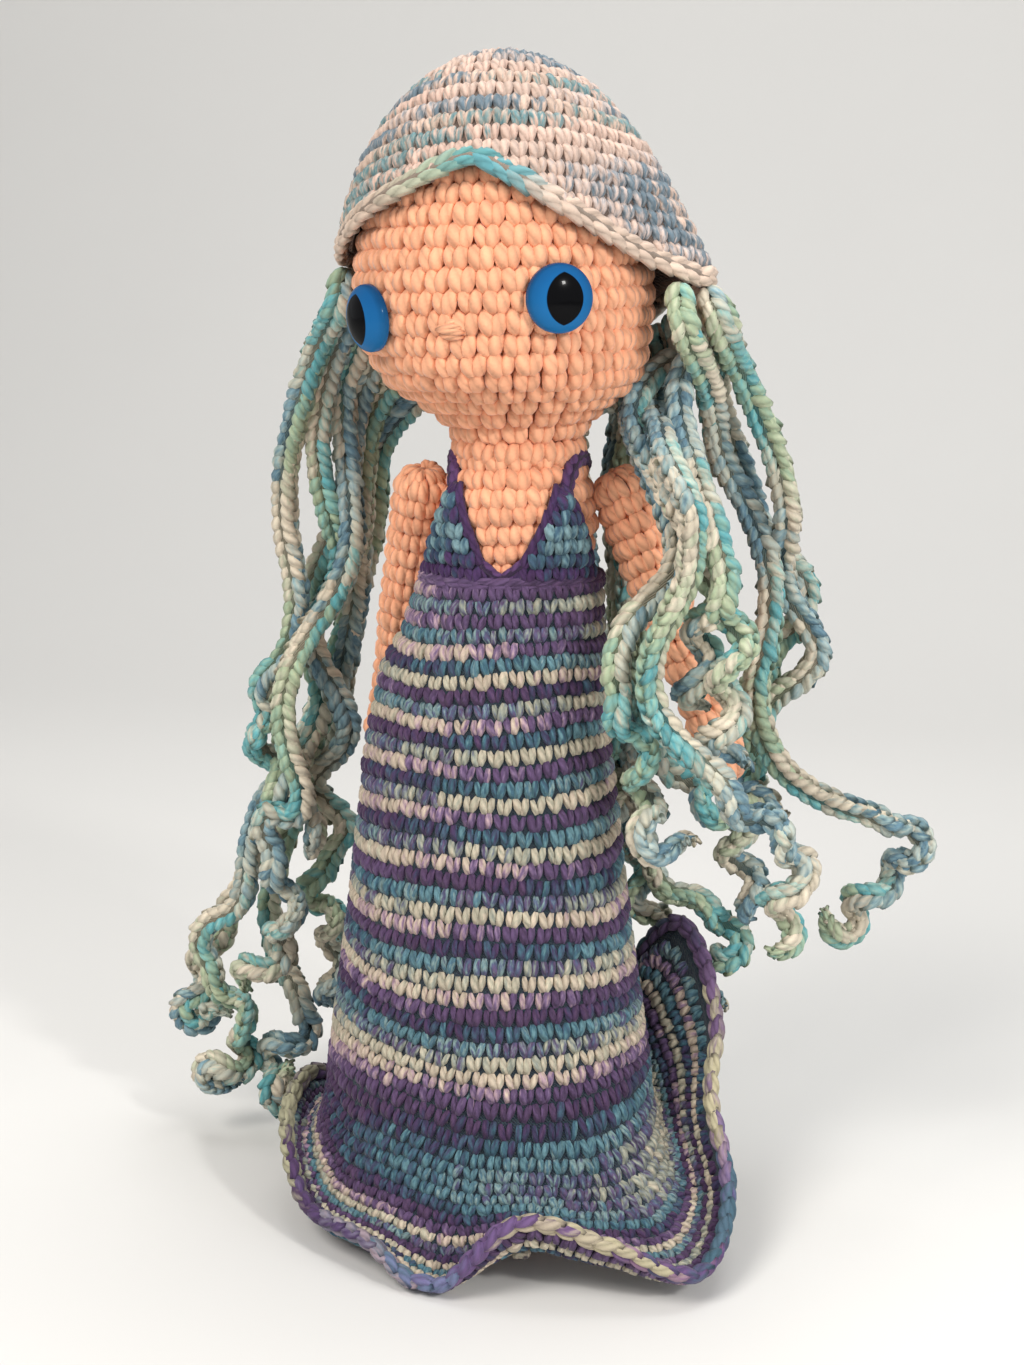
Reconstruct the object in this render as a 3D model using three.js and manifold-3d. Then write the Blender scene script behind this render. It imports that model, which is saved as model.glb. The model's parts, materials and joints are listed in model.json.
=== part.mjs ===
// Crocheted doll in a wig cap with hanging strands and a long gown, in millimetres.
// X runs across the doll, its face looks along -Y, and Z is up.
import * as THREE from 'three';
import { mergeVertices } from 'three/addons/utils/BufferGeometryUtils.js';
import Module from 'manifold-3d';

const wasm = await Module();
wasm.setup();

// Fits: between sewn pieces, between the round faces of a joint, and how far a cut runs over
const SEAT_GAP = 0.3;
const TURN_GAP = 0.4;
const CUT_OVERRUN = 4;
const MERGE_REACH = 1e-5;

// Crochet thickness of each garment and skin
const SKIN_WALL = 3.2;
const GOWN_WALL = 2.6;
const CAP_WALL = 4;

// Neck and head: the neck turns and nods about the middle of a round end on the body
const NECK_PIVOT_HEIGHT = 182.5;
const NECK_BALL_RADIUS = 16;
const NECK_RADIUS = 14.1;
const NECK_SEAM_HEIGHT = 190;
const NECK_LENGTH = 4;
const HEAD_RADIUS = 34.3;
const HEAD_HEIGHT = 86;
const HEAD_LEAN = 3.6;
const NECK_WAD_RADIUS = 6;
const NECK_WAD_THICKNESS = 3;
const NECK_STITCH_RADIUS = 0.8;

// Eyes, nose and their fixings
const EYE_RADIUS = 7.5;
const EYE_DOME = 5;
const EYE_RIM = 1.2;
const EYE_SHANK_RADIUS = 2.2;
const EYE_SHANK_LENGTH = 9;
const WASHER_RADIUS = 5.5;
const WASHER_THICKNESS = 1.6;
const WASHER_GAP = 0.75;
const NOSE_TURN = -9.4;
const NOSE_RISE_SHARE = 0.343;
const NOSE_WIDTH = 6;
const NOSE_HEIGHT = 3.2;
const NOSE_DEPTH = 2.4;

// Body under the gown
const SHOULDER_HALF_WIDTH = 18;
const CHEST_HALF_WIDTH = 19.2;
const HIP_HALF_WIDTH = 25;
const HIP_HEIGHT = 125;
const BODY_BOTTOM_HEIGHT = 104;
const HIP_SWAY = 7.6;
const SPINE_BEND = 68;
const CHEST_HEIGHT = 160;
const WAIST_HALF_WIDTH = 21.5;
const WAIST_HEIGHT = 146;
const BODY_DEPTH_SHARE = 0.68;
const TORSO_OPENING_RADIUS = 4.5;

// Arms
const SHOULDER_HEIGHT = 180;
const SHOULDER_REACH = 24;
const SHOULDER_SETBACK = 4.5;
const ARM_RADIUS = 6.8;
const WRIST_RADIUS = 5.2;
const HAND_RADIUS = 5.5;
const ARM_LENGTH = 73;
const LEFT_ARM_SPREAD = 21.5;
const RIGHT_ARM_SPREAD = 12.5;
const LEFT_ARM_SETBACK = 0;
const RIGHT_ARM_SETBACK = 15;
const LIMB_OPENING_RADIUS = 3;

// Legs, hidden in the skirt
const LEG_PIVOT_HEIGHT = 95.5;
const LEG_SPACING = 11.6;
const THIGH_RADIUS = 10.4;
const ANKLE_RADIUS = 8;
const ANKLE_HEIGHT = 17;
const FOOT_HALF_LENGTH = 15;
const FOOT_FORWARD = 1;
const FOOT_HALF_WIDTH = 9.5;
const FOOT_RISE = 11;
const SOLE_ROUND = 1.5;

// Gown
const GOWN_TOP_HEIGHT = 161;
const GOWN_SEAT_HEIGHT = 148;
const GOWN_HIP_HALF_WIDTH = 28;
const GOWN_HIP_HEIGHT = 138;
const SKIRT_HALF_WIDTH = 40.5;
const SKIRT_HEIGHT = 40;
const SKIRT_DEPTH = 28;
const HEM_REACH = 60;
const HEM_DEPTH = 47;
const HEM_LIFT = 70;
const EDGING_RADIUS = 1.7;
const GOWN_EASE = 0.6;

// Bodice cups, straps and the chain along the neckline
const CUP_WALL = 2.2;
const CUP_HEIGHT = 20;
const CUP_TURN = 43;
const CUP_HALF_ANGLE = 34;
const CUP_TAPER_SHARE = 0.88;
const CUP_CROWN = 1.4;
const STRAP_RADIUS = 1.4;
const STRAP_SIDE_HEIGHT = 185.7;
const NECKLINE_RADIUS = 1.1;
const NECKLINE_TURN_GAP = 7;

// Wig cap rim and hair
const RIM_FRONT_HEIGHT = 255;
const RIM_SIDE_HEIGHT = 233;
const RIM_BACK_HEIGHT = 211;
const RIM_SIDE_DROP = 2.5;
const RIM_SIDE_TURN = 75;
const CAP_EASE = 0.9;
const FLAP_REACH = 10;
const FLAP_TURN = 88;
const FLAP_SPREAD = 17;
const HAIR_RADIUS = 2.3;
const HAIR_REACH = 100;
const HAIR_DEPTH = 50;
const HAIR_HEIGHT = 280;
const HAIR_CLEARANCE = 0.5;
const HAIR_BEAD_LENGTH = 4.2;

// Counts: sides of the rounds, passes that lay the hair, and the beads of a strand that may touch each other
const AROUND = 20;
const LIMB_AROUND = 12;
const GOWN_AROUND = 32;
const EYE_AROUND = 16;
const EDGING_SIDES = 5;
const STITCH_SIDES = 6;
const HAIR_SIDES = 4;
const LAYING_PASSES = 40;
const OWN_BEADS = 3;

const finish = (color, roughness) => new THREE.MeshStandardMaterial({ color, roughness, metalness: 0 });
const SKIN = finish(0xf2b08c, 0.9);
const STUFFING = finish(0xf1efe9, 1);
const EYE_BLUE = finish(0x1d6fb5, 0.1);
const WASHER_WHITE = finish(0xe4e2da, 0.5);
const CAP_YARN = finish(0xb4c8c6, 0.9);
const EDGE_YARN = finish(0x7fb0ba, 0.9);
const HAIR_YARN = finish(0xa9c4b8, 0.9);
const GOWN_YARN = finish(0x4b4560, 0.9);
const CUP_YARN = finish(0x3f5f74, 0.9);
const STRAP_YARN = finish(0x4a2f5c, 0.9);

const doll = new THREE.Group();

function add(name, geometry, material) {
  const mesh = new THREE.Mesh(geometry, material);
  mesh.name = name;
  doll.add(mesh);
  return mesh;
}

// Mesh tools

// A closed skin over rows of points: a row of one point is a pole, and a ring joins its last row and first
function skin(rows, ring = false) {
  const positions = [];
  const starts = [];
  for (const row of rows) {
    starts.push(positions.length / 3);
    for (const point of row) {
      positions.push(point.x, point.y, point.z);
    }
  }
  const corner = (row, j) => starts[row] + (rows[row].length === 1 ? 0 : j % rows[row].length);
  const index = [];
  const bands = ring ? rows.length : rows.length - 1;
  for (let i = 0; i < bands; i++) {
    const next = (i + 1) % rows.length;
    const around = Math.max(rows[i].length, rows[next].length);
    for (let j = 0; j < around; j++) {
      if (rows[i].length > 1) {
        index.push(corner(i, j), corner(i, j + 1), corner(next, j));
      }
      if (rows[next].length > 1) {
        index.push(corner(i, j + 1), corner(next, j + 1), corner(next, j));
      }
    }
  }
  return facingOut(positions, index);
}

// Turns every face round if the closed skin came out inside out
function facingOut(positions, index) {
  const point = (i) => new THREE.Vector3().fromArray(positions, i * 3);
  let volume = 0;
  for (let i = 0; i < index.length; i += 3) {
    volume += point(index[i]).dot(point(index[i + 1]).cross(point(index[i + 2])));
  }
  if (volume < 0) {
    index.reverse();
  }
  const geometry = new THREE.BufferGeometry();
  geometry.setAttribute('position', new THREE.Float32BufferAttribute(positions, 3));
  geometry.setIndex(index);
  return geometry;
}

function toSolid(geometry) {
  const plain = geometry.clone();
  plain.deleteAttribute('normal');
  plain.deleteAttribute('uv');
  const merged = mergeVertices(plain, MERGE_REACH);
  const vertProperties = new Float32Array(merged.attributes.position.array);
  const triVerts = new Uint32Array(merged.index.array);
  return new wasm.Manifold(new wasm.Mesh({ numProp: 3, vertProperties, triVerts }));
}

function fromSolid(solid) {
  const mesh = solid.getMesh();
  const geometry = new THREE.BufferGeometry();
  geometry.setAttribute('position', new THREE.BufferAttribute(mesh.vertProperties, 3));
  geometry.setIndex(new THREE.BufferAttribute(mesh.triVerts, 1));
  return geometry;
}

// The geometry less each of the cutters
function cut(geometry, ...cutters) {
  const left = cutters.reduce((solid, cutter) => solid.subtract(toSolid(cutter)), toSolid(geometry));
  return fromSolid(left);
}

const ball = (centre, radius) =>
  new THREE.SphereGeometry(radius, AROUND, AROUND / 2).translate(centre.x, centre.y, centre.z);

// A round bar from one point to another
function bar(from, to, radius) {
  const geometry = new THREE.CylinderGeometry(radius, radius, from.distanceTo(to), LIMB_AROUND);
  const along = to.clone().sub(from).normalize();
  geometry.applyQuaternion(new THREE.Quaternion().setFromUnitVectors(new THREE.Vector3(0, 1, 0), along));
  const middle = from.clone().lerp(to, 0.5);
  return geometry.translate(middle.x, middle.y, middle.z);
}

// A tube along a list of points, with a closed end at each end unless it is a ring
function tube(points, radius, sides, ring = false) {
  const count = points.length;
  const tangentAt = (i) => {
    const before = points[ring ? (i + count - 1) % count : Math.max(i - 1, 0)];
    const after = points[ring ? (i + 1) % count : Math.min(i + 1, count - 1)];
    return after.clone().sub(before).normalize();
  };
  let across = new THREE.Vector3(0, 0, 1);
  const rows = points.map((point, i) => {
    const tangent = tangentAt(i);
    if (ring) {
      across = new THREE.Vector3(0, 0, 1);
    } else if (i === 0 && Math.abs(tangent.z) > 0.9) {
      across = new THREE.Vector3(0, 1, 0);
    }
    across = across.clone().addScaledVector(tangent, -across.dot(tangent)).normalize();
    const side = tangent.clone().cross(across);
    return Array.from({ length: sides }, (_, j) => {
      const turn = (j / sides) * Math.PI * 2;
      return point.clone()
        .addScaledVector(across, Math.cos(turn) * radius)
        .addScaledVector(side, Math.sin(turn) * radius);
    });
  });
  return ring ? skin(rows, true) : skin([[points[0]], ...rows, [points[count - 1]]]);
}

const smooth = (share) => THREE.MathUtils.smoothstep(share, 0, 1);
const mix = THREE.MathUtils.lerp;
const radians = THREE.MathUtils.degToRad;

// A smooth profile through [radius, height] pairs, with the outward normal of each of its points
function profileOf(pairs, samples) {
  const curve = new THREE.SplineCurve(pairs.map(([radius, height]) => new THREE.Vector2(radius, height)));
  return curve.getPoints(samples).map((point, i) => {
    const tangent = curve.getTangent(i / samples);
    const normal = new THREE.Vector2(tangent.y, -tangent.x);
    return { radius: Math.max(point.x, 0), height: point.y, normal };
  });
}

// Radius, height and normal of a profile where it passes a height
function profileAt(profile, height) {
  const above = profile.findIndex((point) => point.height > height);
  const high = profile[above < 1 ? (above === 0 ? 1 : profile.length - 1) : above];
  const low = profile[above < 1 ? (above === 0 ? 0 : profile.length - 2) : above - 1];
  const share = THREE.MathUtils.clamp((height - low.height) / (high.height - low.height), 0, 1);
  return {
    radius: mix(low.radius, high.radius, share),
    height: mix(low.height, high.height, share),
    normal: low.normal.clone().lerp(high.normal, share).normalize(),
  };
}

// Spine: the hips stand to one side of the neck
function spineAt(height) {
  return -HIP_SWAY * smooth((NECK_PIVOT_HEIGHT - height) / SPINE_BEND);
}

// Head: one crocheted piece with its neck, closed at the crown and open at the neck seam
const HEAD_ROUND_SHARES = [
  [0.081, 0.5], [0.134, 0.65], [0.186, 0.83], [0.267, 0.945], [0.407, 1],
  [0.535, 0.975], [0.663, 0.9], [0.791, 0.755], [0.9, 0.54], [0.975, 0.26], [1, 0],
];
const headProfile = profileOf([
  [NECK_RADIUS, NECK_SEAM_HEIGHT - NECK_LENGTH],
  [NECK_RADIUS, NECK_SEAM_HEIGHT + NECK_LENGTH / 2],
  ...HEAD_ROUND_SHARES.map(([rise, width]) => [
    Math.max(HEAD_RADIUS * width, rise < 0.1 ? NECK_RADIUS : 0),
    NECK_SEAM_HEIGHT + HEAD_HEIGHT * rise,
  ]),
], 18);

function headLeanAt(height) {
  return -HEAD_LEAN * smooth((height - NECK_SEAM_HEIGHT) / (HEAD_HEIGHT * 0.4));
}

// A point on the head at a turn from straight ahead, lifted off the skin
function headPoint(turn, spot, lift) {
  const reach = spot.radius + lift * spot.normal.x;
  const height = spot.height + lift * spot.normal.y;
  return new THREE.Vector3(
    headLeanAt(spot.height) + Math.sin(turn) * reach,
    -Math.cos(turn) * reach,
    height,
  );
}

function headRow(spot, lift) {
  if (spot.radius === 0) {
    return [headPoint(0, spot, lift)];
  }
  return Array.from({ length: AROUND }, (_, j) => headPoint((j / AROUND) * Math.PI * 2, spot, lift));
}

const neckPivot = new THREE.Vector3(0, 0, NECK_PIVOT_HEIGHT);
const headOuter = headProfile.map((spot) => headRow(spot, 0));
const headInner = headProfile.map((spot) => headRow(spot, -SKIN_WALL)).reverse();

// Eye seats: turn from straight ahead in degrees and height up the head
const EYES = [
  { name: 'eye_left', turn: 30.9, riseShare: 0.42 },
  { name: 'eye_right', turn: -46.3, riseShare: 0.367 },
];

function eyeSeat({ turn, riseShare }) {
  const spot = profileAt(headProfile, NECK_SEAM_HEIGHT + HEAD_HEIGHT * riseShare);
  const surface = headPoint(radians(turn), spot, 0);
  const out = headPoint(radians(turn), spot, SKIN_WALL).sub(surface).normalize();
  return { surface, out };
}

// The reach of a flat disc below the top of the round it lies on
const dishDepth = (discRadius, roundRadius) => roundRadius - Math.sqrt(roundRadius ** 2 - discRadius ** 2);

// A round piece about a line from a place; its profile is [radius, distance] pairs, joined up if a ring
function turned(profile, place, along, segments, ring = false) {
  const lay = new THREE.Quaternion().setFromUnitVectors(new THREE.Vector3(0, 0, 1), along);
  const rows = profile.map(([radius, distance]) => {
    const count = radius === 0 ? 1 : segments;
    return Array.from({ length: count }, (_, j) => {
      const turn = (j / segments) * Math.PI * 2;
      return new THREE.Vector3(Math.cos(turn) * radius, Math.sin(turn) * radius, distance)
        .applyQuaternion(lay)
        .add(place);
    });
  });
  return skin(rows, ring);
}

// Dome with its back just off the skin and a shank that runs through it
function eye(seat) {
  const back = SEAT_GAP;
  const domeSteps = 4;
  const shankEnd = back - EYE_SHANK_LENGTH;
  const shank = [[0, shankEnd], [EYE_SHANK_RADIUS, shankEnd], [EYE_SHANK_RADIUS, back]];
  const profile = [...shank, [EYE_RADIUS, back]];
  for (let i = 0; i <= domeSteps; i++) {
    const turn = (i / domeSteps) * Math.PI / 2;
    const rise = back + EYE_RIM + Math.sin(turn) * (EYE_DOME - EYE_RIM);
    profile.push([i === domeSteps ? 0 : Math.cos(turn) * EYE_RADIUS, rise]);
  }
  return turned(profile, seat.surface, seat.out, EYE_AROUND);
}

// The washer's face lies on the inside of the skin
const washerTop = -(SKIN_WALL + dishDepth(WASHER_RADIUS, HEAD_RADIUS - SKIN_WALL) + WASHER_GAP);
const washerBore = EYE_SHANK_RADIUS + SEAT_GAP;

function eyeWasher(seat) {
  const bottom = washerTop - WASHER_THICKNESS;
  const lower = [[washerBore, bottom], [WASHER_RADIUS, bottom]];
  const upper = [[WASHER_RADIUS, washerTop], [washerBore, washerTop]];
  return turned([...lower, ...upper], seat.surface, seat.out, LIMB_AROUND, true);
}

const eyeSeats = EYES.map((one) => ({ ...one, ...eyeSeat(one) }));
const shankHole = ({ surface, out }) => bar(
  surface.clone().addScaledVector(out, CUT_OVERRUN),
  surface.clone().addScaledVector(out, -SKIN_WALL - CUT_OVERRUN),
  EYE_SHANK_RADIUS + SEAT_GAP,
);
const fixingPocket = ({ surface, out }) => bar(
  surface.clone().addScaledVector(out, CUT_OVERRUN),
  surface.clone().addScaledVector(out, -EYE_SHANK_LENGTH - SEAT_GAP),
  WASHER_RADIUS + SEAT_GAP,
);

add('head', cut(
  skin([...headOuter, ...headInner], true),
  ball(neckPivot, NECK_BALL_RADIUS + TURN_GAP),
  ...eyeSeats.map(shankHole),
), SKIN);

const stuffingStart = NECK_SEAM_HEIGHT + HEAD_HEIGHT * 0.11;
const stuffingRows = headProfile
  .filter((spot) => spot.height > stuffingStart)
  .map((spot) => headRow(spot, -SKIN_WALL - SEAT_GAP));
const stuffingBase = new THREE.Vector3(headLeanAt(stuffingStart), 0, stuffingRows[0][0].z);
add('head_stuffing', cut(
  skin([[stuffingBase], ...stuffingRows]),
  ...eyeSeats.map(fixingPocket),
), STUFFING);

for (const seat of eyeSeats) {
  add(seat.name, eye(seat), EYE_BLUE);
  add(seat.name.replace('eye', 'eye_washer'), eyeWasher(seat), WASHER_WHITE);
}

// Neck: stitches round the seam, and a wad that keeps the neck firm on the round end of the body
const stitchReach = NECK_RADIUS + NECK_STITCH_RADIUS + SEAT_GAP;
const stitchHeight = NECK_SEAM_HEIGHT + NECK_STITCH_RADIUS;
const stitchRow = Array.from({ length: AROUND }, (_, j) => {
  const turn = (j / AROUND) * Math.PI * 2;
  return new THREE.Vector3(Math.sin(turn) * stitchReach, -Math.cos(turn) * stitchReach, stitchHeight);
});
add('neck_stitches', tube(stitchRow, NECK_STITCH_RADIUS, STITCH_SIDES, true), SKIN);

const wadInside = NECK_BALL_RADIUS + TURN_GAP;
const wadOutside = wadInside + NECK_WAD_THICKNESS;
const wadTurn = Math.asin(NECK_WAD_RADIUS / wadInside);
const wadProfile = [];
for (const [radius, turns] of [[wadInside, [0, 0.5, 1]], [wadOutside, [1, 0.5, 0]]]) {
  for (const share of turns) {
    const turn = wadTurn * share;
    wadProfile.push([share === 0 ? 0 : Math.sin(turn) * radius, Math.cos(turn) * radius]);
  }
}
add('neck_wad', turned(wadProfile, neckPivot, new THREE.Vector3(0, 0, 1), LIMB_AROUND), STUFFING);

// Radius and rise up the bump
const NOSE_SHARES = [[0, 0], [0.5, 0], [0.42, 0.6], [0.2, 1], [0, 1]];

// A few stitches drawn into a small flat bump between and below the eyes
function noseBump() {
  const spot = profileAt(headProfile, NECK_SEAM_HEIGHT + HEAD_HEIGHT * NOSE_RISE_SHARE);
  const turn = radians(NOSE_TURN);
  const surface = headPoint(turn, spot, SEAT_GAP);
  const out = headPoint(turn, spot, SKIN_WALL).sub(surface).normalize();
  const profile = NOSE_SHARES.map(([width, depth]) => [NOSE_WIDTH * width, NOSE_DEPTH * depth]);
  const geometry = turned(profile, new THREE.Vector3(), out, LIMB_AROUND);
  geometry.scale(1, 1, NOSE_HEIGHT / NOSE_WIDTH);
  return geometry.translate(surface.x, surface.y, surface.z);
}

add('nose', noseBump(), SKIN);

// Body: a flattened round with a ball end inside the neck
const ballTurns = [74, 60, 45, 30];
const torsoProfile = profileOf([
  [0, BODY_BOTTOM_HEIGHT],
  [HIP_HALF_WIDTH * 0.55, BODY_BOTTOM_HEIGHT + (HIP_HEIGHT - BODY_BOTTOM_HEIGHT) * 0.02],
  [HIP_HALF_WIDTH * 0.88, BODY_BOTTOM_HEIGHT + (HIP_HEIGHT - BODY_BOTTOM_HEIGHT) * 0.3],
  [HIP_HALF_WIDTH, HIP_HEIGHT],
  [WAIST_HALF_WIDTH, WAIST_HEIGHT],
  [CHEST_HALF_WIDTH, CHEST_HEIGHT],
  [SHOULDER_HALF_WIDTH, SHOULDER_HEIGHT - ARM_RADIUS / 2],
  [mix(SHOULDER_HALF_WIDTH, NECK_BALL_RADIUS, 0.6), SHOULDER_HEIGHT + ARM_RADIUS / 3],
  ...ballTurns.map((turn) => [
    Math.sin(radians(turn)) * NECK_BALL_RADIUS,
    NECK_PIVOT_HEIGHT + Math.cos(radians(turn)) * NECK_BALL_RADIUS,
  ]),
  [0, NECK_PIVOT_HEIGHT + NECK_BALL_RADIUS],
], 16);

const ballBase = NECK_PIVOT_HEIGHT + Math.cos(radians(ballTurns[0])) * NECK_BALL_RADIUS;

function bodyDepthShareAt(height) {
  return mix(BODY_DEPTH_SHARE, 1, smooth((height - CHEST_HEIGHT) / (ballBase - CHEST_HEIGHT)));
}

// A point on the body at a turn from straight ahead, lifted off the skin
function torsoPoint(turn, spot, lift) {
  const across = spot.radius + lift * spot.normal.x;
  const deep = spot.radius * bodyDepthShareAt(spot.height) + lift * spot.normal.x;
  return new THREE.Vector3(
    spineAt(spot.height) + Math.sin(turn) * across,
    -Math.cos(turn) * deep,
    spot.height + lift * spot.normal.y,
  );
}

function torsoRow(spot, lift) {
  const count = spot.radius === 0 ? 1 : AROUND;
  return Array.from({ length: count }, (_, j) => torsoPoint((j / AROUND) * Math.PI * 2, spot, lift));
}

const torsoSkin = (lift) => skin(torsoProfile.map((spot) => torsoRow(spot, lift)));

// Shoulders and hips: where each limb pivots and the way it points
const SIDES = [['left', 1], ['right', -1]];
const ARM_SPREADS = { left: LEFT_ARM_SPREAD, right: RIGHT_ARM_SPREAD };
const ARM_SETBACKS = { left: LEFT_ARM_SETBACK, right: RIGHT_ARM_SETBACK };

function shoulder(side, sign) {
  const pivot = new THREE.Vector3(
    spineAt(SHOULDER_HEIGHT) + sign * SHOULDER_REACH, SHOULDER_SETBACK, SHOULDER_HEIGHT);
  const spread = radians(ARM_SPREADS[side]);
  const setback = radians(ARM_SETBACKS[side]);
  const along = new THREE.Vector3(sign * Math.sin(spread), Math.tan(setback), -Math.cos(spread)).normalize();
  return { side, sign, pivot, along };
}

const shoulders = SIDES.map(([side, sign]) => shoulder(side, sign));
const hips = SIDES.map(([side, sign]) => ({
  side, pivot: new THREE.Vector3(spineAt(LEG_PIVOT_HEIGHT) + sign * LEG_SPACING, 0, LEG_PIVOT_HEIGHT),
}));

const torsoOpening = bar(
  new THREE.Vector3(0, 0, NECK_PIVOT_HEIGHT + NECK_BALL_RADIUS - SKIN_WALL - CUT_OVERRUN),
  new THREE.Vector3(0, 0, NECK_PIVOT_HEIGHT + NECK_BALL_RADIUS + CUT_OVERRUN),
  TORSO_OPENING_RADIUS,
);
add('torso', cut(
  torsoSkin(0),
  torsoSkin(-SKIN_WALL),
  torsoOpening,
  ...shoulders.map(({ pivot }) => ball(pivot, ARM_RADIUS + TURN_GAP)),
  ...hips.map(({ pivot }) => ball(pivot, THIGH_RADIUS + TURN_GAP)),
), SKIN);
add('torso_stuffing', torsoSkin(-SKIN_WALL - SEAT_GAP), STUFFING);

// Arms: a round end in the shoulder, tapering to a rounded hand
function roundEnd(radius) {
  return [0, 0.35, 0.7, 1].map((share) => {
    const turn = share * Math.PI / 2;
    return [share === 0 ? 0 : Math.sin(turn) * radius, -Math.cos(turn) * radius];
  });
}

const ARM_TAPER_SHARES = [[0.35, 0.25], [0.62, 0.9], [0.8, 1]];

function armSkin({ pivot, along }, lift) {
  const profile = roundEnd(ARM_RADIUS + lift);
  for (const [reach, taper] of ARM_TAPER_SHARES) {
    profile.push([mix(ARM_RADIUS, WRIST_RADIUS, taper) + lift, ARM_LENGTH * reach]);
  }
  profile.push([HAND_RADIUS + lift, ARM_LENGTH - HAND_RADIUS]);
  profile.push([(HAND_RADIUS + lift) * 0.7, ARM_LENGTH - HAND_RADIUS * 0.3 + lift * 0.7]);
  profile.push([0, ARM_LENGTH + lift]);
  return turned(profile, pivot, along, LIMB_AROUND);
}

for (const place of shoulders) {
  const inward = place.pivot.clone().setX(place.pivot.x - place.sign * (ARM_RADIUS + CUT_OVERRUN));
  add(`arm_${place.side}`, cut(
    armSkin(place, 0),
    armSkin(place, -SKIN_WALL),
    bar(place.pivot, inward, LIMB_OPENING_RADIUS),
  ), SKIN);
  add(`arm_stuffing_${place.side}`, armSkin(place, -SKIN_WALL - SEAT_GAP), STUFFING);
}

// Legs: a round end in the hip, a straight shin and a foot with a flat sole
const ovalRow = (middle, halfWidth, halfDepth) => Array.from({ length: LIMB_AROUND }, (_, j) => {
  const turn = (j / LIMB_AROUND) * Math.PI * 2;
  const across = new THREE.Vector3(Math.sin(turn) * halfWidth, -Math.cos(turn) * halfDepth, 0);
  return across.add(middle);
});

function legSkin({ pivot }, lift) {
  const at = (forward, height) => new THREE.Vector3(pivot.x, pivot.y - forward, height);
  const rows = roundEnd(THIGH_RADIUS + lift).slice(1).map(([radius, drop]) => (
    ovalRow(at(0, pivot.z - drop), radius, radius)
  ));
  const sole = -lift;
  const shin = mix(ANKLE_RADIUS, THIGH_RADIUS, 0.4) + lift;
  const ankle = ANKLE_RADIUS + lift;
  const width = FOOT_HALF_WIDTH + lift;
  const length = FOOT_HALF_LENGTH + lift;
  return skin([
    [at(0, pivot.z + THIGH_RADIUS + lift)],
    ...rows,
    ovalRow(at(0, ANKLE_HEIGHT * 2.5), shin, shin),
    ovalRow(at(0, ANKLE_HEIGHT), ankle, ankle),
    ovalRow(at(FOOT_FORWARD / 2, FOOT_RISE + lift), width, length - FOOT_FORWARD / 2),
    ovalRow(at(FOOT_FORWARD, SOLE_ROUND + sole / 2), width, length),
    ovalRow(at(FOOT_FORWARD, sole), width - SOLE_ROUND, length - SOLE_ROUND),
    [at(FOOT_FORWARD, sole)],
  ]);
}

for (const hip of hips) {
  const top = hip.pivot.clone().setZ(hip.pivot.z + THIGH_RADIUS + CUT_OVERRUN);
  add(`leg_${hip.side}`, cut(
    legSkin(hip, 0),
    legSkin(hip, -SKIN_WALL),
    bar(hip.pivot, top, LIMB_OPENING_RADIUS),
  ), SKIN);
  add(`leg_stuffing_${hip.side}`, legSkin(hip, -SKIN_WALL - SEAT_GAP * 2), STUFFING);
}

// Gown: one tube of cloth, snug at the chest, a smooth bell to the knees and a flounce at the hem
const gownProfile = profileOf([
  [GOWN_HIP_HALF_WIDTH, GOWN_HIP_HEIGHT],
  [mix(GOWN_HIP_HALF_WIDTH, SKIRT_HALF_WIDTH, 0.18), mix(GOWN_HIP_HEIGHT, SKIRT_HEIGHT, 0.2)],
  [mix(GOWN_HIP_HALF_WIDTH, SKIRT_HALF_WIDTH, 0.55), mix(GOWN_HIP_HEIGHT, SKIRT_HEIGHT, 0.6)],
  [SKIRT_HALF_WIDTH, SKIRT_HEIGHT],
].reverse(), 12);
const gownLift = GOWN_EASE + GOWN_WALL;

function torsoSection(height) {
  const { radius } = profileAt(torsoProfile, height);
  return { across: radius, deep: radius * bodyDepthShareAt(height) };
}

// The gown's outer half width and half depth at a height above the flounce
function gownSection(height) {
  const chest = torsoSection(height);
  const snug = { across: chest.across + gownLift, deep: chest.deep + gownLift };
  const bell = profileAt(gownProfile, height).radius;
  const aboveSkirt = smooth((height - SKIRT_HEIGHT) / SKIRT_HEIGHT);
  const depthShare = mix(SKIRT_DEPTH / SKIRT_HALF_WIDTH, BODY_DEPTH_SHARE, aboveSkirt);
  const loose = 1 - smooth((height - GOWN_HIP_HEIGHT) / (GOWN_SEAT_HEIGHT - GOWN_HIP_HEIGHT));
  return {
    across: Math.max(snug.across, mix(snug.across, bell, loose)),
    deep: Math.max(snug.deep, mix(snug.deep, bell * depthShare, loose)),
  };
}

function gownPoint(turn, height) {
  const { across, deep } = gownSection(height);
  return new THREE.Vector3(spineAt(height) + Math.sin(turn) * across, -Math.cos(turn) * deep, height);
}

// Hem edge round the doll from the front, turning to its left: reach across, reach forward and height,
// as shares of the hem's reach, depth and lift, and the flounce's lowest dip, also a share of the lift
const HEM_SHARES = [
  [-0.05, 1, 0.05, 0.04], [0.3, 1.02, 0.28, 0.07], [0.63, 0.97, 0.21, 0.04],
  [0.92, 0.83, 0.11, 0.04], [1, 0.38, 0.22, 0.07], [0.9, 0.04, 0.47, 0.24],
  [0.89, -0.2, 0.72, 0.46], [0.72, -0.52, 0.96, 0.7], [0.32, -0.78, 0.5, 0.36],
  [-0.03, -0.91, 0.1, 0.05], [-0.37, -0.85, 0.06, 0.04], [-0.63, -0.57, 0.16, 0.09],
  [-0.78, -0.17, 0.38, 0.24], [-0.8, 0.19, 0.31, 0.18], [-0.64, 0.55, 0.13, 0.06],
  [-0.33, 0.85, 0.12, 0.06],
];
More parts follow.
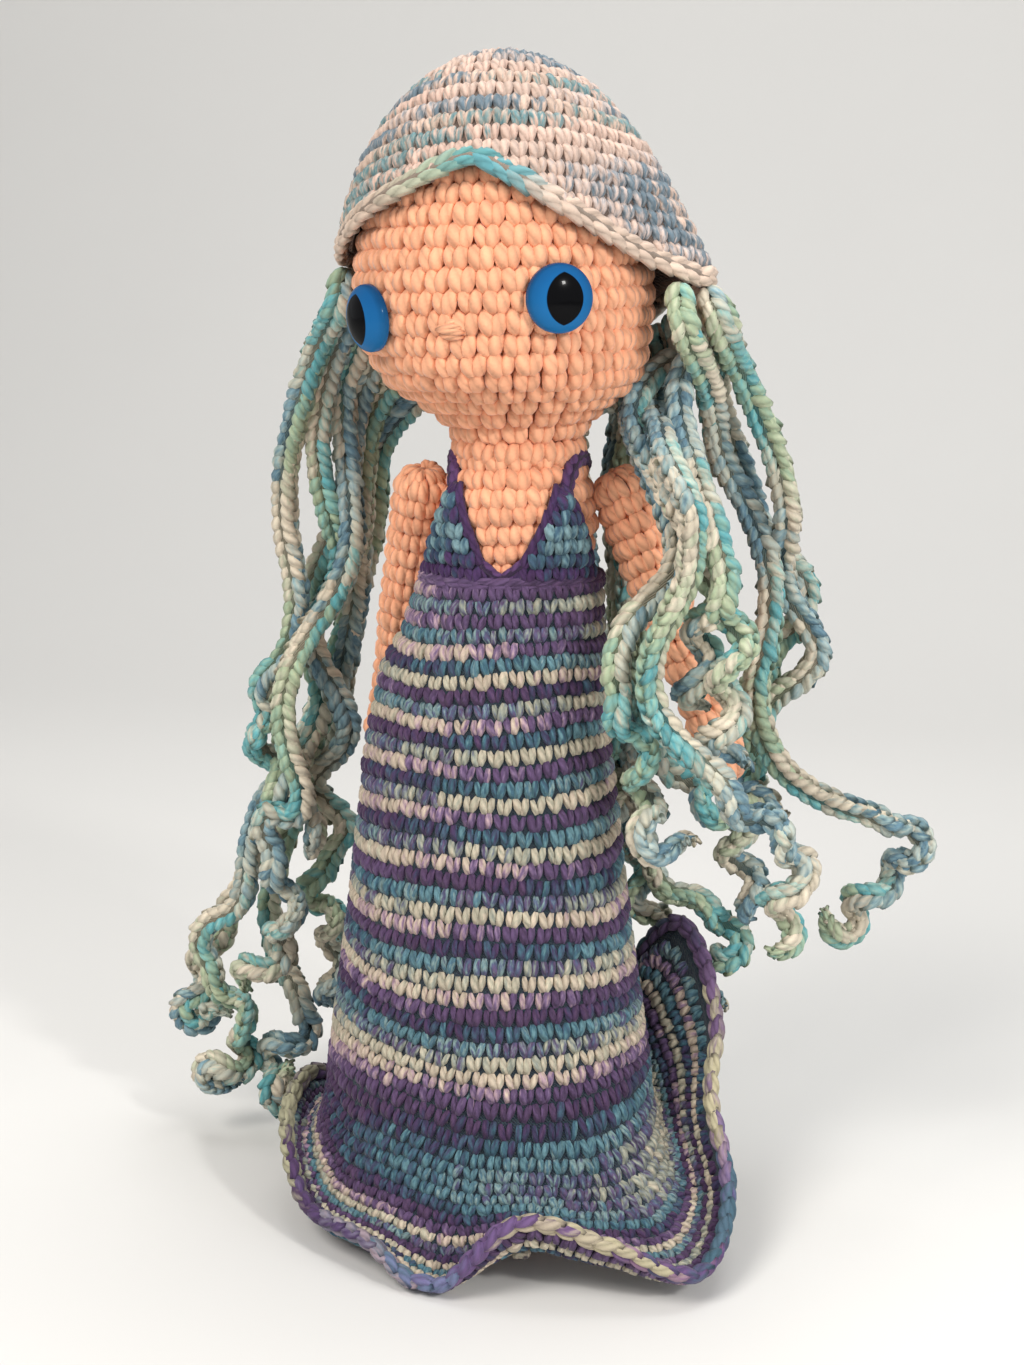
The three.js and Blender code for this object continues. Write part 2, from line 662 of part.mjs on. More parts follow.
const hemMiddle = spineAt(SKIRT_HEIGHT);
const hemEdge = new THREE.CatmullRomCurve3(HEM_SHARES.map(([across, forward, lift]) => (
  new THREE.Vector3(hemMiddle + across * HEM_REACH, -forward * HEM_DEPTH, lift * HEM_LIFT)
)), true);
const hemDips = new THREE.CatmullRomCurve3(HEM_SHARES.map(([, , , dip]) => (
  new THREE.Vector3(0, 0, dip * HEM_LIFT)
)), true);

// The flounce swings out of the skirt, dips and turns up to its edge
function flouncePoint(j, share) {
  const around = j / GOWN_AROUND;
  const start = gownPoint(around * Math.PI * 2, SKIRT_HEIGHT);
  const edge = hemEdge.getPoint(around);
  const dip = hemDips.getPoint(around).z;
  const leave = start.clone().setZ(mix(SKIRT_HEIGHT, Math.min(dip, SKIRT_HEIGHT), 0.6));
  const arrive = start.clone().lerp(edge, 0.75).setZ(dip);
  return new THREE.CubicBezierCurve3(start, leave, arrive, edge).getPoint(share);
}

const GOWN_HEIGHT_SHARES = [1, 0.94, 0.88, 0.82, 0.76, 0.64, 0.5, 0.34, 0.17, 0];
const FLOUNCE_SHARES = [0.2, 0.45, 0.72, 1];
const gownRows = [
  ...GOWN_HEIGHT_SHARES.map((share) => Array.from({ length: GOWN_AROUND }, (_, j) => (
    gownPoint((j / GOWN_AROUND) * Math.PI * 2, mix(SKIRT_HEIGHT, GOWN_TOP_HEIGHT, share))
  ))),
  ...FLOUNCE_SHARES.map((share) => Array.from({ length: GOWN_AROUND }, (_, j) => flouncePoint(j, share))),
];

// The same rows moved inward by a wall, square to the cloth
function liningOf(rows, wall) {
  return rows.map((row, i) => row.map((point, j) => {
    const up = rows[Math.max(i - 1, 0)][j].clone().sub(rows[Math.min(i + 1, rows.length - 1)][j]);
    const along = row[(j + 1) % row.length].clone().sub(row[(j + row.length - 1) % row.length]);
    return point.clone().addScaledVector(along.cross(up).normalize(), -wall);
  }));
}

const gownLining = liningOf(gownRows, GOWN_WALL);
add('gown', skin([...gownRows, ...gownLining.slice().reverse()], true), GOWN_YARN);

// Where an edge's middle lies, moved on past it by a reach, square to the edge
function beyondEdge(outer, inner, reach) {
  const last = outer.length - 1;
  return outer[last].map((point, j) => {
    const count = outer[last].length;
    const along = outer[last][(j + 1) % count].clone().sub(outer[last][(j + count - 1) % count]).normalize();
    const onward = point.clone().sub(outer[last - 1][j]);
    onward.addScaledVector(along, -onward.dot(along)).normalize();
    return point.clone().lerp(inner[last][j], 0.5).addScaledVector(onward, reach);
  });
}

const hemEdgingRoute = beyondEdge(gownRows, gownLining, EDGING_RADIUS + SEAT_GAP * 2);
add('hem_edging', tube(hemEdgingRoute, EDGING_RADIUS, EDGING_SIDES, true), EDGE_YARN);

// Cups: three-cornered pieces on the chest, each drawn up to a strap
const cupBase = GOWN_TOP_HEIGHT + SEAT_GAP;

// A closed sheet between an outer and an inner grid of points
function slab(outer, inner) {
  const rows = outer.map((row, i) => [...row, ...inner[i].slice().reverse()]);
  const width = outer[0].length;
  const positions = rows.flat().flatMap((point) => [point.x, point.y, point.z]);
  const around = width * 2;
  const index = [];
  for (let i = 0; i < rows.length - 1; i++) {
    for (let j = 0; j < around; j++) {
      const k = (j + 1) % around;
      const a = i * around;
      index.push(a + j, a + k, a + around + j, a + k, a + around + k, a + around + j);
    }
  }
  for (let j = 0; j < width - 1; j++) {
    const last = (rows.length - 1) * around;
    index.push(j, around - 1 - j, j + 1, j + 1, around - 1 - j, around - 2 - j);
    index.push(last + j, last + j + 1, last + around - 1 - j);
    index.push(last + j + 1, last + around - 2 - j, last + around - 1 - j);
  }
  return facingOut(positions, index);
}

function cupGrid(sign, lift, crown) {
  return [0, 0.25, 0.5, 0.75, 1].map((rise) => {
    const spot = profileAt(torsoProfile, cupBase + CUP_HEIGHT * rise);
    return [-1, -0.5, 0, 0.5, 1].map((across) => {
      const turn = radians(sign * CUP_TURN + across * CUP_HALF_ANGLE * (1 - rise * CUP_TAPER_SHARE));
      return torsoPoint(turn, spot, lift + crown * (1 - across ** 2) * Math.sin(rise * Math.PI));
    });
  });
}

const cupSeat = SEAT_GAP * 2;
for (const [side, sign] of SIDES) {
  const outside = cupGrid(sign, cupSeat + CUP_WALL, CUP_CROWN);
  add(`cup_${side}`, slab(outside, cupGrid(sign, cupSeat, 0)), CUP_YARN);
}

// Straps: from the top of each cup over the shoulder to the nape
const strapLift = STRAP_RADIUS + cupSeat;
const napeTurn = 180 - THREE.MathUtils.radToDeg(SEAT_GAP / NECK_BALL_RADIUS);
const STRAP_STEPS = 10;

function strapRoute(sign) {
  const start = cupBase + CUP_HEIGHT + STRAP_RADIUS;
  return Array.from({ length: STRAP_STEPS + 1 }, (_, i) => {
    const share = i / STRAP_STEPS;
    const turn = radians(sign * mix(CUP_TURN, napeTurn, share));
    const height = mix(start, STRAP_SIDE_HEIGHT, smooth(share * 5));
    return torsoPoint(turn, profileAt(torsoProfile, height), strapLift);
  });
}

for (const [side, sign] of SIDES) {
  add(`strap_${side}`, tube(strapRoute(sign), STRAP_RADIUS, EDGING_SIDES), STRAP_YARN);
}

// Chain along the low point of the neckline, between the cups
const neckline = [-1, -0.75, -0.5, -0.2, 0.2, 0.5, 0.75, 1].map((share) => {
  const rise = Math.abs(share) * 0.5;
  const spot = profileAt(torsoProfile, cupBase + NECKLINE_RADIUS + CUP_HEIGHT * rise);
  const inner = CUP_TURN - CUP_HALF_ANGLE * (1 - rise * CUP_TAPER_SHARE);
  const turn = Math.sign(share) * Math.max(inner - NECKLINE_TURN_GAP, 1);
  return torsoPoint(radians(turn), spot, NECKLINE_RADIUS + cupSeat);
});
add('neckline_chain', tube(neckline, NECKLINE_RADIUS, EDGING_SIDES), STRAP_YARN);

// Wig cap: over the crown, with a rim that slopes from the forehead to the nape and flares at one temple
function rimHeightAt(turn) {
  const degrees = Math.abs(THREE.MathUtils.euclideanModulo(THREE.MathUtils.radToDeg(turn) + 180, 360) - 180);
  const side = mix(RIM_FRONT_HEIGHT, RIM_SIDE_HEIGHT, Math.min(degrees / RIM_SIDE_TURN, 1));
  const behind = smooth((degrees - RIM_SIDE_TURN) / (180 - RIM_SIDE_TURN));
  return mix(side, RIM_BACK_HEIGHT, behind) - RIM_SIDE_DROP * Math.sin(turn);
}

function flapAt(turn, rise) {
  const off = THREE.MathUtils.radToDeg(turn) - FLAP_TURN;
  return FLAP_REACH * Math.exp(-((off / FLAP_SPREAD) ** 2)) * (1 - rise) ** 2;
}

const CAP_RISE_SHARES = [0, 0.12, 0.3, 0.5, 0.68, 0.82, 0.93];

function capRows(lift) {
  const crown = headProfile[headProfile.length - 1];
  const rows = CAP_RISE_SHARES.map((share) => Array.from({ length: AROUND }, (_, j) => {
    const turn = (j / AROUND) * Math.PI * 2;
    const rise = 1 - (1 - share) ** 1.6;
    const spot = profileAt(headProfile, mix(rimHeightAt(turn), crown.height, rise));
    return headPoint(turn, spot, lift + flapAt(turn, rise));
  }));
  return [[headPoint(0, crown, lift)], ...rows.reverse()];
}

const capOuter = capRows(CAP_EASE + CAP_WALL);
const capInner = capRows(CAP_EASE);
const capEdgingRoute = beyondEdge(capOuter, capInner, EDGING_RADIUS + SEAT_GAP);
add('wig_cap', skin([...capOuter, ...capInner.slice().reverse()]), CAP_YARN);
add('cap_edging', tube(capEdgingRoute, EDGING_RADIUS, EDGING_SIDES, true), EDGE_YARN);

// Hair: crocheted strands that hang from the edging of the cap
const rootReach = EDGING_RADIUS * 2 + SEAT_GAP * 2;
const rootReaches = [rootReach, rootReach + HAIR_BEAD_LENGTH, rootReach + HAIR_BEAD_LENGTH * 2];
const rootCurves = rootReaches.map((reach) => (
  new THREE.CatmullRomCurve3(beyondEdge(capOuter, capInner, reach), true)
));
const leadAt = (degrees) => rootCurves.map((curve) => (
  curve.getPoint(THREE.MathUtils.euclideanModulo(degrees / 360, 1))
));

// Each strand: its place round the cap in degrees from straight ahead and the places that it hangs through,
// as shares of the hair's reach to each side, its depth behind the neck and its height
const STRANDS = [
  {
    name: 'front_left_a', turn: 112,
    shares: [
      [0.28, 0.08, 0.74], [0.26, -0.08, 0.71], [0.32, -0.24, 0.68], [0.38, -0.34, 0.65],
      [0.42, -0.34, 0.62], [0.45, -0.34, 0.59], [0.47, -0.34, 0.56], [0.45, -0.32, 0.53],
      [0.44, -0.28, 0.49], [0.45, -0.24, 0.46],
    ],
  },
  {
    name: 'front_left_b', turn: 103,
    shares: [
      [0.37, 0.04, 0.74], [0.39, -0.12, 0.7], [0.43, -0.3, 0.67], [0.45, -0.4, 0.65],
      [0.49, -0.44, 0.62], [0.5, -0.44, 0.58], [0.53, -0.4, 0.54], [0.52, -0.4, 0.5],
      [0.5, -0.36, 0.46], [0.53, -0.32, 0.43],
    ],
  },
  {
    name: 'front_left_c', turn: 130,
    shares: [
      [0.25, 0.28, 0.73], [0.27, 0, 0.7], [0.35, -0.22, 0.65], [0.39, -0.24, 0.61],
      [0.37, -0.28, 0.58], [0.31, -0.36, 0.56], [0.27, -0.44, 0.53], [0.27, -0.44, 0.49],
      [0.3, -0.4, 0.45], [0.34, -0.32, 0.43], [0.32, -0.36, 0.39], [0.35, -0.44, 0.37],
      [0.42, -0.44, 0.37], [0.46, -0.4, 0.35],
    ],
  },
  {
    name: 'front_left_d', turn: 121,
    shares: [
      [0.3, 0.24, 0.73], [0.31, 0, 0.71], [0.37, -0.44, 0.68], [0.43, -0.54, 0.65],
      [0.42, -0.48, 0.58], [0.37, -0.52, 0.55], [0.35, -0.52, 0.52], [0.35, -0.52, 0.49],
      [0.41, -0.52, 0.46], [0.48, -0.52, 0.44], [0.53, -0.52, 0.42], [0.54, -0.48, 0.4],
      [0.6, -0.44, 0.39], [0.67, -0.44, 0.38], [0.69, -0.44, 0.36], [0.66, -0.4, 0.34],
      [0.64, -0.36, 0.32], [0.66, -0.36, 0.3], [0.64, -0.36, 0.28],
    ],
  },
  {
    name: 'side_left_a', turn: 76,
    shares: [
      [0.43, 0.28, 0.72], [0.45, 0.48, 0.67], [0.51, 0.52, 0.63], [0.56, 0.52, 0.59],
      [0.58, 0.48, 0.55], [0.57, 0.44, 0.51], [0.55, 0.44, 0.47], [0.57, 0.44, 0.43],
      [0.64, 0.44, 0.39], [0.74, 0.44, 0.37], [0.83, 0.44, 0.36], [0.93, 0.44, 0.35],
      [0.95, 0.48, 0.32], [0.88, 0.52, 0.3], [0.83, 0.56, 0.28], [0.8, 0.56, 0.25],
      [0.74, 0.56, 0.25], [0.69, 0.56, 0.26],
    ],
  },
  {
    name: 'side_left_b', turn: 85,
    shares: [
      [0.51, 0.24, 0.74], [0.55, 0.36, 0.7], [0.59, 0.4, 0.66], [0.6, 0.44, 0.62],
      [0.58, 0.6, 0.57], [0.63, 0.64, 0.53], [0.69, 0.64, 0.51], [0.69, 0.64, 0.49],
      [0.65, 0.64, 0.47], [0.58, 0.64, 0.45], [0.54, 0.64, 0.41], [0.52, 0.6, 0.36],
      [0.51, 0.6, 0.31], [0.53, 0.6, 0.28], [0.57, 0.6, 0.26], [0.54, 0.6, 0.24],
    ],
  },
  {
    name: 'side_left_c', turn: 94,
    shares: [
      [0.44, 0.44, 0.72], [0.5, 0.6, 0.65], [0.55, 0.68, 0.6], [0.6, 0.72, 0.58],
      [0.66, 0.76, 0.55], [0.64, 0.76, 0.52], [0.58, 0.76, 0.49], [0.52, 0.76, 0.45],
      [0.49, 0.76, 0.4], [0.52, 0.76, 0.35], [0.49, 0.76, 0.31],
    ],
  },
  {
    name: 'side_left_d', turn: 139,
    shares: [
      [0.29, 0.56, 0.73], [0.27, 0.6, 0.69], [0.26, 0.6, 0.62], [0.28, 0.6, 0.55],
      [0.26, 0.6, 0.48], [0.28, 0.56, 0.43], [0.34, 0.52, 0.4], [0.42, 0.48, 0.36],
      [0.5, 0.52, 0.36], [0.59, 0.6, 0.36], [0.64, 0.64, 0.33],
    ],
  },
  {
    name: 'side_left_e', turn: 148,
    shares: [
      [0.23, 0.64, 0.71], [0.21, 0.68, 0.67], [0.21, 0.64, 0.6], [0.23, 0.64, 0.53],
      [0.23, 0.64, 0.45], [0.24, 0.64, 0.37], [0.27, 0.64, 0.32], [0.32, 0.64, 0.27],
      [0.41, 0.64, 0.26], [0.49, 0.64, 0.24], [0.5, 0.64, 0.21], [0.45, 0.64, 0.19],
      [0.4, 0.64, 0.2], [0.39, 0.64, 0.18], [0.45, 0.64, 0.16], [0.48, 0.64, 0.14],
    ],
  },
  {
    name: 'side_left_f', turn: 157,
    shares: [
      [0.2, 0.72, 0.71], [0.17, 0.76, 0.64], [0.18, 0.8, 0.57], [0.19, 0.8, 0.49],
      [0.21, 0.8, 0.4], [0.22, 0.8, 0.33], [0.24, 0.76, 0.27], [0.29, 0.72, 0.23],
      [0.33, 0.68, 0.21],
    ],
  },
  {
    name: 'side_right_a', turn: -90,
    shares: [
      [-0.49, 0.12, 0.77], [-0.56, 0.24, 0.72], [-0.62, 0.36, 0.66], [-0.64, 0.44, 0.6],
      [-0.62, 0.48, 0.54], [-0.64, 0.48, 0.49], [-0.7, 0.44, 0.46], [-0.72, 0.44, 0.42],
      [-0.69, 0.44, 0.37], [-0.62, 0.44, 0.33], [-0.56, 0.48, 0.3],
    ],
  },
  {
    name: 'side_right_b', turn: -105,
    shares: [
      [-0.49, 0.28, 0.75], [-0.54, 0.36, 0.68], [-0.53, 0.48, 0.61], [-0.51, 0.56, 0.57],
      [-0.55, 0.6, 0.53], [-0.6, 0.6, 0.51], [-0.58, 0.6, 0.47], [-0.52, 0.6, 0.43],
      [-0.51, 0.64, 0.4], [-0.58, 0.68, 0.37], [-0.63, 0.68, 0.36], [-0.59, 0.72, 0.33],
      [-0.53, 0.72, 0.32], [-0.55, 0.68, 0.29], [-0.62, 0.68, 0.26], [-0.62, 0.68, 0.23],
      [-0.55, 0.68, 0.21], [-0.59, 0.68, 0.17], [-0.55, 0.68, 0.15], [-0.59, 0.64, 0.12],
    ],
  },
  {
    name: 'side_right_c', turn: -116,
    shares: [
      [-0.48, 0.4, 0.73], [-0.48, 0.48, 0.64], [-0.47, 0.44, 0.58], [-0.53, 0.44, 0.53],
      [-0.6, 0.36, 0.49], [-0.64, 0.32, 0.44], [-0.62, 0.32, 0.39], [-0.59, 0.32, 0.35],
      [-0.64, 0.32, 0.33], [-0.7, 0.32, 0.34], [-0.69, 0.36, 0.3], [-0.66, 0.4, 0.26],
      [-0.65, 0.4, 0.22], [-0.71, 0.44, 0.19], [-0.78, 0.44, 0.17], [-0.83, 0.44, 0.15],
    ],
  },
  {
    name: 'side_right_d', turn: -127,
    shares: [
      [-0.46, 0.54, 0.71], [-0.52, 0.64, 0.61], [-0.6, 0.68, 0.55], [-0.63, 0.68, 0.49],
      [-0.59, 0.72, 0.43], [-0.63, 0.56, 0.38], [-0.71, 0.52, 0.35], [-0.76, 0.52, 0.31],
      [-0.78, 0.52, 0.27], [-0.81, 0.56, 0.23], [-0.89, 0.56, 0.22], [-0.93, 0.6, 0.18],
      [-0.88, 0.6, 0.15], [-0.81, 0.56, 0.12], [-0.79, 0.56, 0.09], [-0.82, 0.52, 0.07],
      [-0.89, 0.52, 0.08], [-0.89, 0.48, 0.06], [-0.83, 0.48, 0.05],
    ],
  },
  {
    name: 'side_right_e', turn: -138,
    shares: [
      [-0.45, 0.66, 0.69], [-0.48, 0.72, 0.6], [-0.5, 0.76, 0.53], [-0.55, 0.8, 0.45],
      [-0.59, 0.84, 0.39], [-0.67, 0.8, 0.33], [-0.73, 0.76, 0.27], [-0.76, 0.76, 0.21],
      [-0.7, 0.72, 0.15], [-0.63, 0.68, 0.11], [-0.7, 0.64, 0.09], [-0.76, 0.6, 0.07],
      [-0.72, 0.56, 0.04], [-0.66, 0.6, 0.05], [-0.68, 0.64, 0.07],
    ],
  },
  {
    name: 'side_right_f', turn: -149,
    shares: [
      [-0.43, 0.78, 0.67], [-0.47, 0.88, 0.59], [-0.54, 0.92, 0.51], [-0.62, 0.92, 0.43],
      [-0.71, 0.88, 0.35], [-0.79, 0.84, 0.28], [-0.87, 0.8, 0.22], [-0.95, 0.76, 0.16],
      [-0.99, 0.72, 0.12], [-0.94, 0.68, 0.1], [-0.89, 0.72, 0.11], [-0.89, 0.76, 0.13],
    ],
  },
];

// Strands at the back hang in a fan behind the gown: turn, and the height of the end as a share
const BACK_STRANDS = [
  ['back_a', 166, 0.3], ['back_b', 175, 0.24], ['back_c', 184, 0.33],
  ['back_d', 193, 0.26], ['back_e', 202, 0.31],
];
const BACK_REACH_SHARE = 0.36;
const BACK_DEPTH_SHARE = 0.68;
const BACK_START_SHARE = 0.72;
const BACK_FAN_SHARES = [1, 1.3, 1.7, 2.1, 2.4];

for (const [name, turn, endShare] of BACK_STRANDS) {
  const shares = BACK_FAN_SHARES.map((fan, i) => {
    const drop = (i + 1) / BACK_FAN_SHARES.length;
    const across = BACK_REACH_SHARE * Math.sin(radians(turn)) * fan;
    return [across, BACK_DEPTH_SHARE, mix(BACK_START_SHARE, endShare, drop)];
  });
  STRANDS.push({ name, turn, shares });
}

const strandClearance = HAIR_RADIUS + HAIR_CLEARANCE;

// The shortest move that takes a point out of an upright oval
function outOfOval(point, axis, across, deep) {
  const reach = Math.hypot((point.x - axis) / across, point.y / deep);
  if (reach < 1) {
    point.set(axis + (point.x - axis) / reach, point.y / reach, point.z);
  }
}

function clearOfHead(point) {
  const axis = headLeanAt(point.z);
  const turn = Math.atan2(point.x - axis, -point.y);
  let reach = profileAt(headProfile, point.z).radius + strandClearance;
  if (point.z > rimHeightAt(turn) - EDGING_RADIUS * 2 - strandClearance) {
    reach += CAP_EASE + CAP_WALL + flapAt(turn, 0);
  }
  outOfOval(point, axis, reach, reach);
}

function clearOfBody(point) {
  const section = point.z > GOWN_TOP_HEIGHT ? torsoSection(point.z) : gownSection(point.z);
  outOfOval(point, spineAt(point.z), section.across + strandClearance, section.deep + strandClearance);
}

function clearOfBar(point, from, to, radius) {
  const nearest = new THREE.Line3(from, to).closestPointToPoint(point, true, new THREE.Vector3());
  pushApart(point, nearest, radius + strandClearance);
}

// Moves a point straight away from another until they are a reach apart
function pushApart(point, other, reach) {
  const away = point.clone().sub(other);
  if (away.length() < reach) {
    point.copy(other).addScaledVector(away.normalize(), reach);
  }
}

const flounceSpots = [0.25, 0.4, 0.55, 0.7, 0.85, 1].flatMap((share) => (
  Array.from({ length: GOWN_AROUND * 2 }, (_, j) => flouncePoint(j / 2, share))
));

function clearOfAll(point) {
  if (point.z > NECK_SEAM_HEIGHT) {
    clearOfHead(point);
  } else if (point.z > SKIRT_HEIGHT) {
    clearOfBody(point);
  }
  for (const { pivot, along } of shoulders) {
    clearOfBar(point, pivot, pivot.clone().addScaledVector(along, ARM_LENGTH - HAND_RADIUS), ARM_RADIUS);
  }
  for (const spot of flounceSpots) {
    pushApart(point, spot, EDGING_RADIUS * 2 + strandClearance);
  }
}

// Lays a strand along its route, moved sideways where it would touch the doll or a strand laid before it
function layStrand(route, laid) {
  const count = Math.round(route.getLength() / HAIR_BEAD_LENGTH);
  const plain = route.getSpacedPoints(count);
  let shifts = plain.map(() => new THREE.Vector3());
  const apart = (HAIR_RADIUS + HAIR_CLEARANCE) * 2;
  for (let pass = 0; pass < LAYING_PASSES; pass++) {
    const points = plain.map((point, i) => point.clone().add(shifts[i]));
    for (let i = 2; i < points.length; i++) {
      clearOfAll(points[i]);
      for (const other of laid) {
        if (other.distanceToSquared(points[i]) < apart ** 2) {
          pushApart(points[i], other, apart);
        }
      }
      for (let k = 2; k < i - OWN_BEADS; k++) {
        pushApart(points[i], points[k], apart);
      }
    }
    shifts = points.map((point, i) => point.sub(plain[i]));
    if (pass < LAYING_PASSES * 0.7) {
      shifts = shifts.map((shift, i) => {
        const before = shifts[Math.max(i - 1, 0)];
        const after = shifts[Math.min(i + 1, shifts.length - 1)];
        return i < 2 ? shift : shift.clone().lerp(before.clone().add(after).divideScalar(2), 0.5);
      });
    }
  }
  return plain.map((point, i) => point.clone().add(shifts[i]));
}

const laid = [];
for (const { name, turn, shares } of STRANDS) {
  const route = new THREE.CatmullRomCurve3([...leadAt(turn), ...shares.map(([across, back, up]) => (
    new THREE.Vector3(across * HAIR_REACH, back * HAIR_DEPTH, up * HAIR_HEIGHT)
  ))], false, 'centripetal');
  const beads = layStrand(route, laid);
  laid.push(...beads);
  const spots = beads.filter((_, i) => i % 2 === 0);
  add(`hair_${name}`, tube(spots, HAIR_RADIUS, HAIR_SIDES), HAIR_YARN);
}

// The origin lies under the middle of the whole part, on the floor
const box = new THREE.Box3().setFromObject(doll);
const footprint = box.getCenter(new THREE.Vector3());
doll.position.set(-footprint.x, -footprint.y, -box.min.z);

export default doll;
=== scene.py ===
"""Crocheted doll with long strands of hair and a trumpet gown, made of single stitches on smooth forms."""
import json
import math

import bmesh
import bpy
import numpy as np
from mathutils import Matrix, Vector

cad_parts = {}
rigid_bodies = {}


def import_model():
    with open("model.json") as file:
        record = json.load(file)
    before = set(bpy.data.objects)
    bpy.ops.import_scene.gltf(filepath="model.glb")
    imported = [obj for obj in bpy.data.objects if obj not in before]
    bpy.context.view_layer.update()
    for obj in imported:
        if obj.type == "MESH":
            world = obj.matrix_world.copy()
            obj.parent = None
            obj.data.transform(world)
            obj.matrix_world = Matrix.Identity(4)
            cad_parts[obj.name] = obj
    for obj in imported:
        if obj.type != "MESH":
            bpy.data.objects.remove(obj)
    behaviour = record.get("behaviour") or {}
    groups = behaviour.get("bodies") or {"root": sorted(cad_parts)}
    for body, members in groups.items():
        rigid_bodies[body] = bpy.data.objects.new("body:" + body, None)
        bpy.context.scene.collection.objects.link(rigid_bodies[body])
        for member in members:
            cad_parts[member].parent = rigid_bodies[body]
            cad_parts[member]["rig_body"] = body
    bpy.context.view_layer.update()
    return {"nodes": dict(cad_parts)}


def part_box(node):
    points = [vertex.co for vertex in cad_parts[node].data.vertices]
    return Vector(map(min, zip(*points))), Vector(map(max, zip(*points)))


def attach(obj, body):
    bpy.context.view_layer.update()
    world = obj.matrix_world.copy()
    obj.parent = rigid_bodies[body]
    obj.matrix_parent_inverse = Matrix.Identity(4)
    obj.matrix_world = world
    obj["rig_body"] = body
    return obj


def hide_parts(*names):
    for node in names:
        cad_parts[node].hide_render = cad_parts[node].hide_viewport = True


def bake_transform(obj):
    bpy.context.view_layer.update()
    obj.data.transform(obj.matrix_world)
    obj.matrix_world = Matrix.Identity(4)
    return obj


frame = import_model()


# Camera: from a little above the doll's chest and to its left, as the photograph was taken.
# The picture is 1024 by 1365 and its focal length is 2050 of its own pixels.
MM = 0.001
sensor_width, focal_pixels, picture_pixels = 36, 2050, 1365
camera_data = bpy.data.cameras.new("camera")
camera_data.sensor_width = sensor_width
camera_data.lens = sensor_width * focal_pixels / picture_pixels
camera = bpy.data.objects.new("camera", camera_data)
bpy.context.collection.objects.link(camera)
neck_low, neck_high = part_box("neck_wad")
axis_x, axis_y = (neck_low[0] + neck_high[0]) / 2, (neck_low[1] + neck_high[1]) / 2
camera_turn, camera_rise, camera_reach = math.radians(11), math.radians(12), 0.49
back = Vector((math.sin(camera_turn) * math.cos(camera_rise), -math.cos(camera_turn) * math.cos(camera_rise),
               math.sin(camera_rise)))
aim = Vector((axis_x - 1.6 * MM, axis_y, 135 * MM))
camera.location = aim + back * camera_reach
camera.rotation_euler = back.to_track_quat("Z", "Y").to_euler()
bpy.context.scene.camera = camera


# Room: a pale floor that rolls up behind the doll, and broad soft lights over and beside the camera.
# A smaller light near the camera gives the eyes their highlight.
def backdrop_point(along, across):
    """A floor at z = 0 that turns up along a quarter circle 0.5 m in radius, 0.55 m behind the doll."""
    start, bend = 0.55, 0.5
    arc = bend * math.pi / 2
    flat = np.minimum(along, start)
    lift = np.clip(along - start, 0, arc) / bend
    wall = np.maximum(along - start - arc, 0)
    return np.stack([across, flat + np.sin(lift) * bend, (1 - np.cos(lift)) * bend + wall], -1)


def fill_mesh(mesh, points, quads, triangles=None):
    """Writes points, four-cornered faces and three-cornered faces into an empty mesh, shaded smooth."""
    triangles = np.zeros((0, 3), int) if triangles is None else triangles
    corners = np.concatenate([quads.ravel(), triangles.ravel()])
    totals = np.concatenate([np.full(len(quads), 4), np.full(len(triangles), 3)])
    mesh.vertices.add(len(points))
    mesh.vertices.foreach_set("co", points.ravel())
    mesh.loops.add(len(corners))
    mesh.loops.foreach_set("vertex_index", corners)
    mesh.polygons.add(len(totals))
    mesh.polygons.foreach_set("loop_start", np.concatenate([[0], np.cumsum(totals)[:-1]]))
    mesh.polygons.foreach_set("loop_total", totals)
    mesh.polygons.foreach_set("use_smooth", np.ones(len(totals), bool))
    mesh.update(calc_edges=True)
    mesh.validate()


def grid_mesh(name, points, ring=False):
    """A mesh over a grid of points (rows, columns, 3). With ring the last column joins the first, points in
    one place are merged, the two ends are closed where they are points, and the faces are turned outwards."""
    rows, columns = points.shape[:2]
    mesh = bpy.data.meshes.new(name)
    index = np.arange(rows * columns).reshape(rows, columns)
    right = np.roll(index, -1, 1) if ring else index[:, 1:]
    left = index if ring else index[:, :-1]
    faces = np.stack([left[:-1], right[:-1], right[1:], left[1:]], -1).reshape(-1, 4)
    fill_mesh(mesh, points.reshape(-1, 3), faces)
    if ring:
        shape = bmesh.new()
        shape.from_mesh(mesh)
        bmesh.ops.remove_doubles(shape, verts=shape.verts, dist=0.02 * MM)
        bmesh.ops.recalc_face_normals(shape, faces=shape.faces)
        shape.to_mesh(mesh)
        shape.free()
    return mesh


def link(name, mesh, *materials):
    """An object of that name in the scene, with its materials."""
    piece = bpy.data.objects.new(name, mesh)
    bpy.context.collection.objects.link(piece)
    for material in materials:
        mesh.materials.append(material)
    return piece


def new_material(name, values):
    """A material with values set on its shader's own sockets: the material, its node tree and the shader."""
    material = bpy.data.materials.new(name)
    material.use_nodes = True
    shader = material.node_tree.nodes["Principled BSDF"]
    for key, value in values.items():
        shader.inputs[key].default_value = value
    return material, material.node_tree, shader


def add_node(tree, kind, inputs=None, **settings):
    """A shader node with its settings, its inputs linked to other nodes' outputs or set to values."""
    node = tree.nodes.new(f"ShaderNode{kind}")
    for key, value in settings.items():
        setattr(node, key, value)
    for key, value in (inputs or {}).items():
        if isinstance(value, bpy.types.NodeSocket):
            tree.links.new(value, node.inputs[key])
        else:
            node.inputs[key].default_value = value
    return node


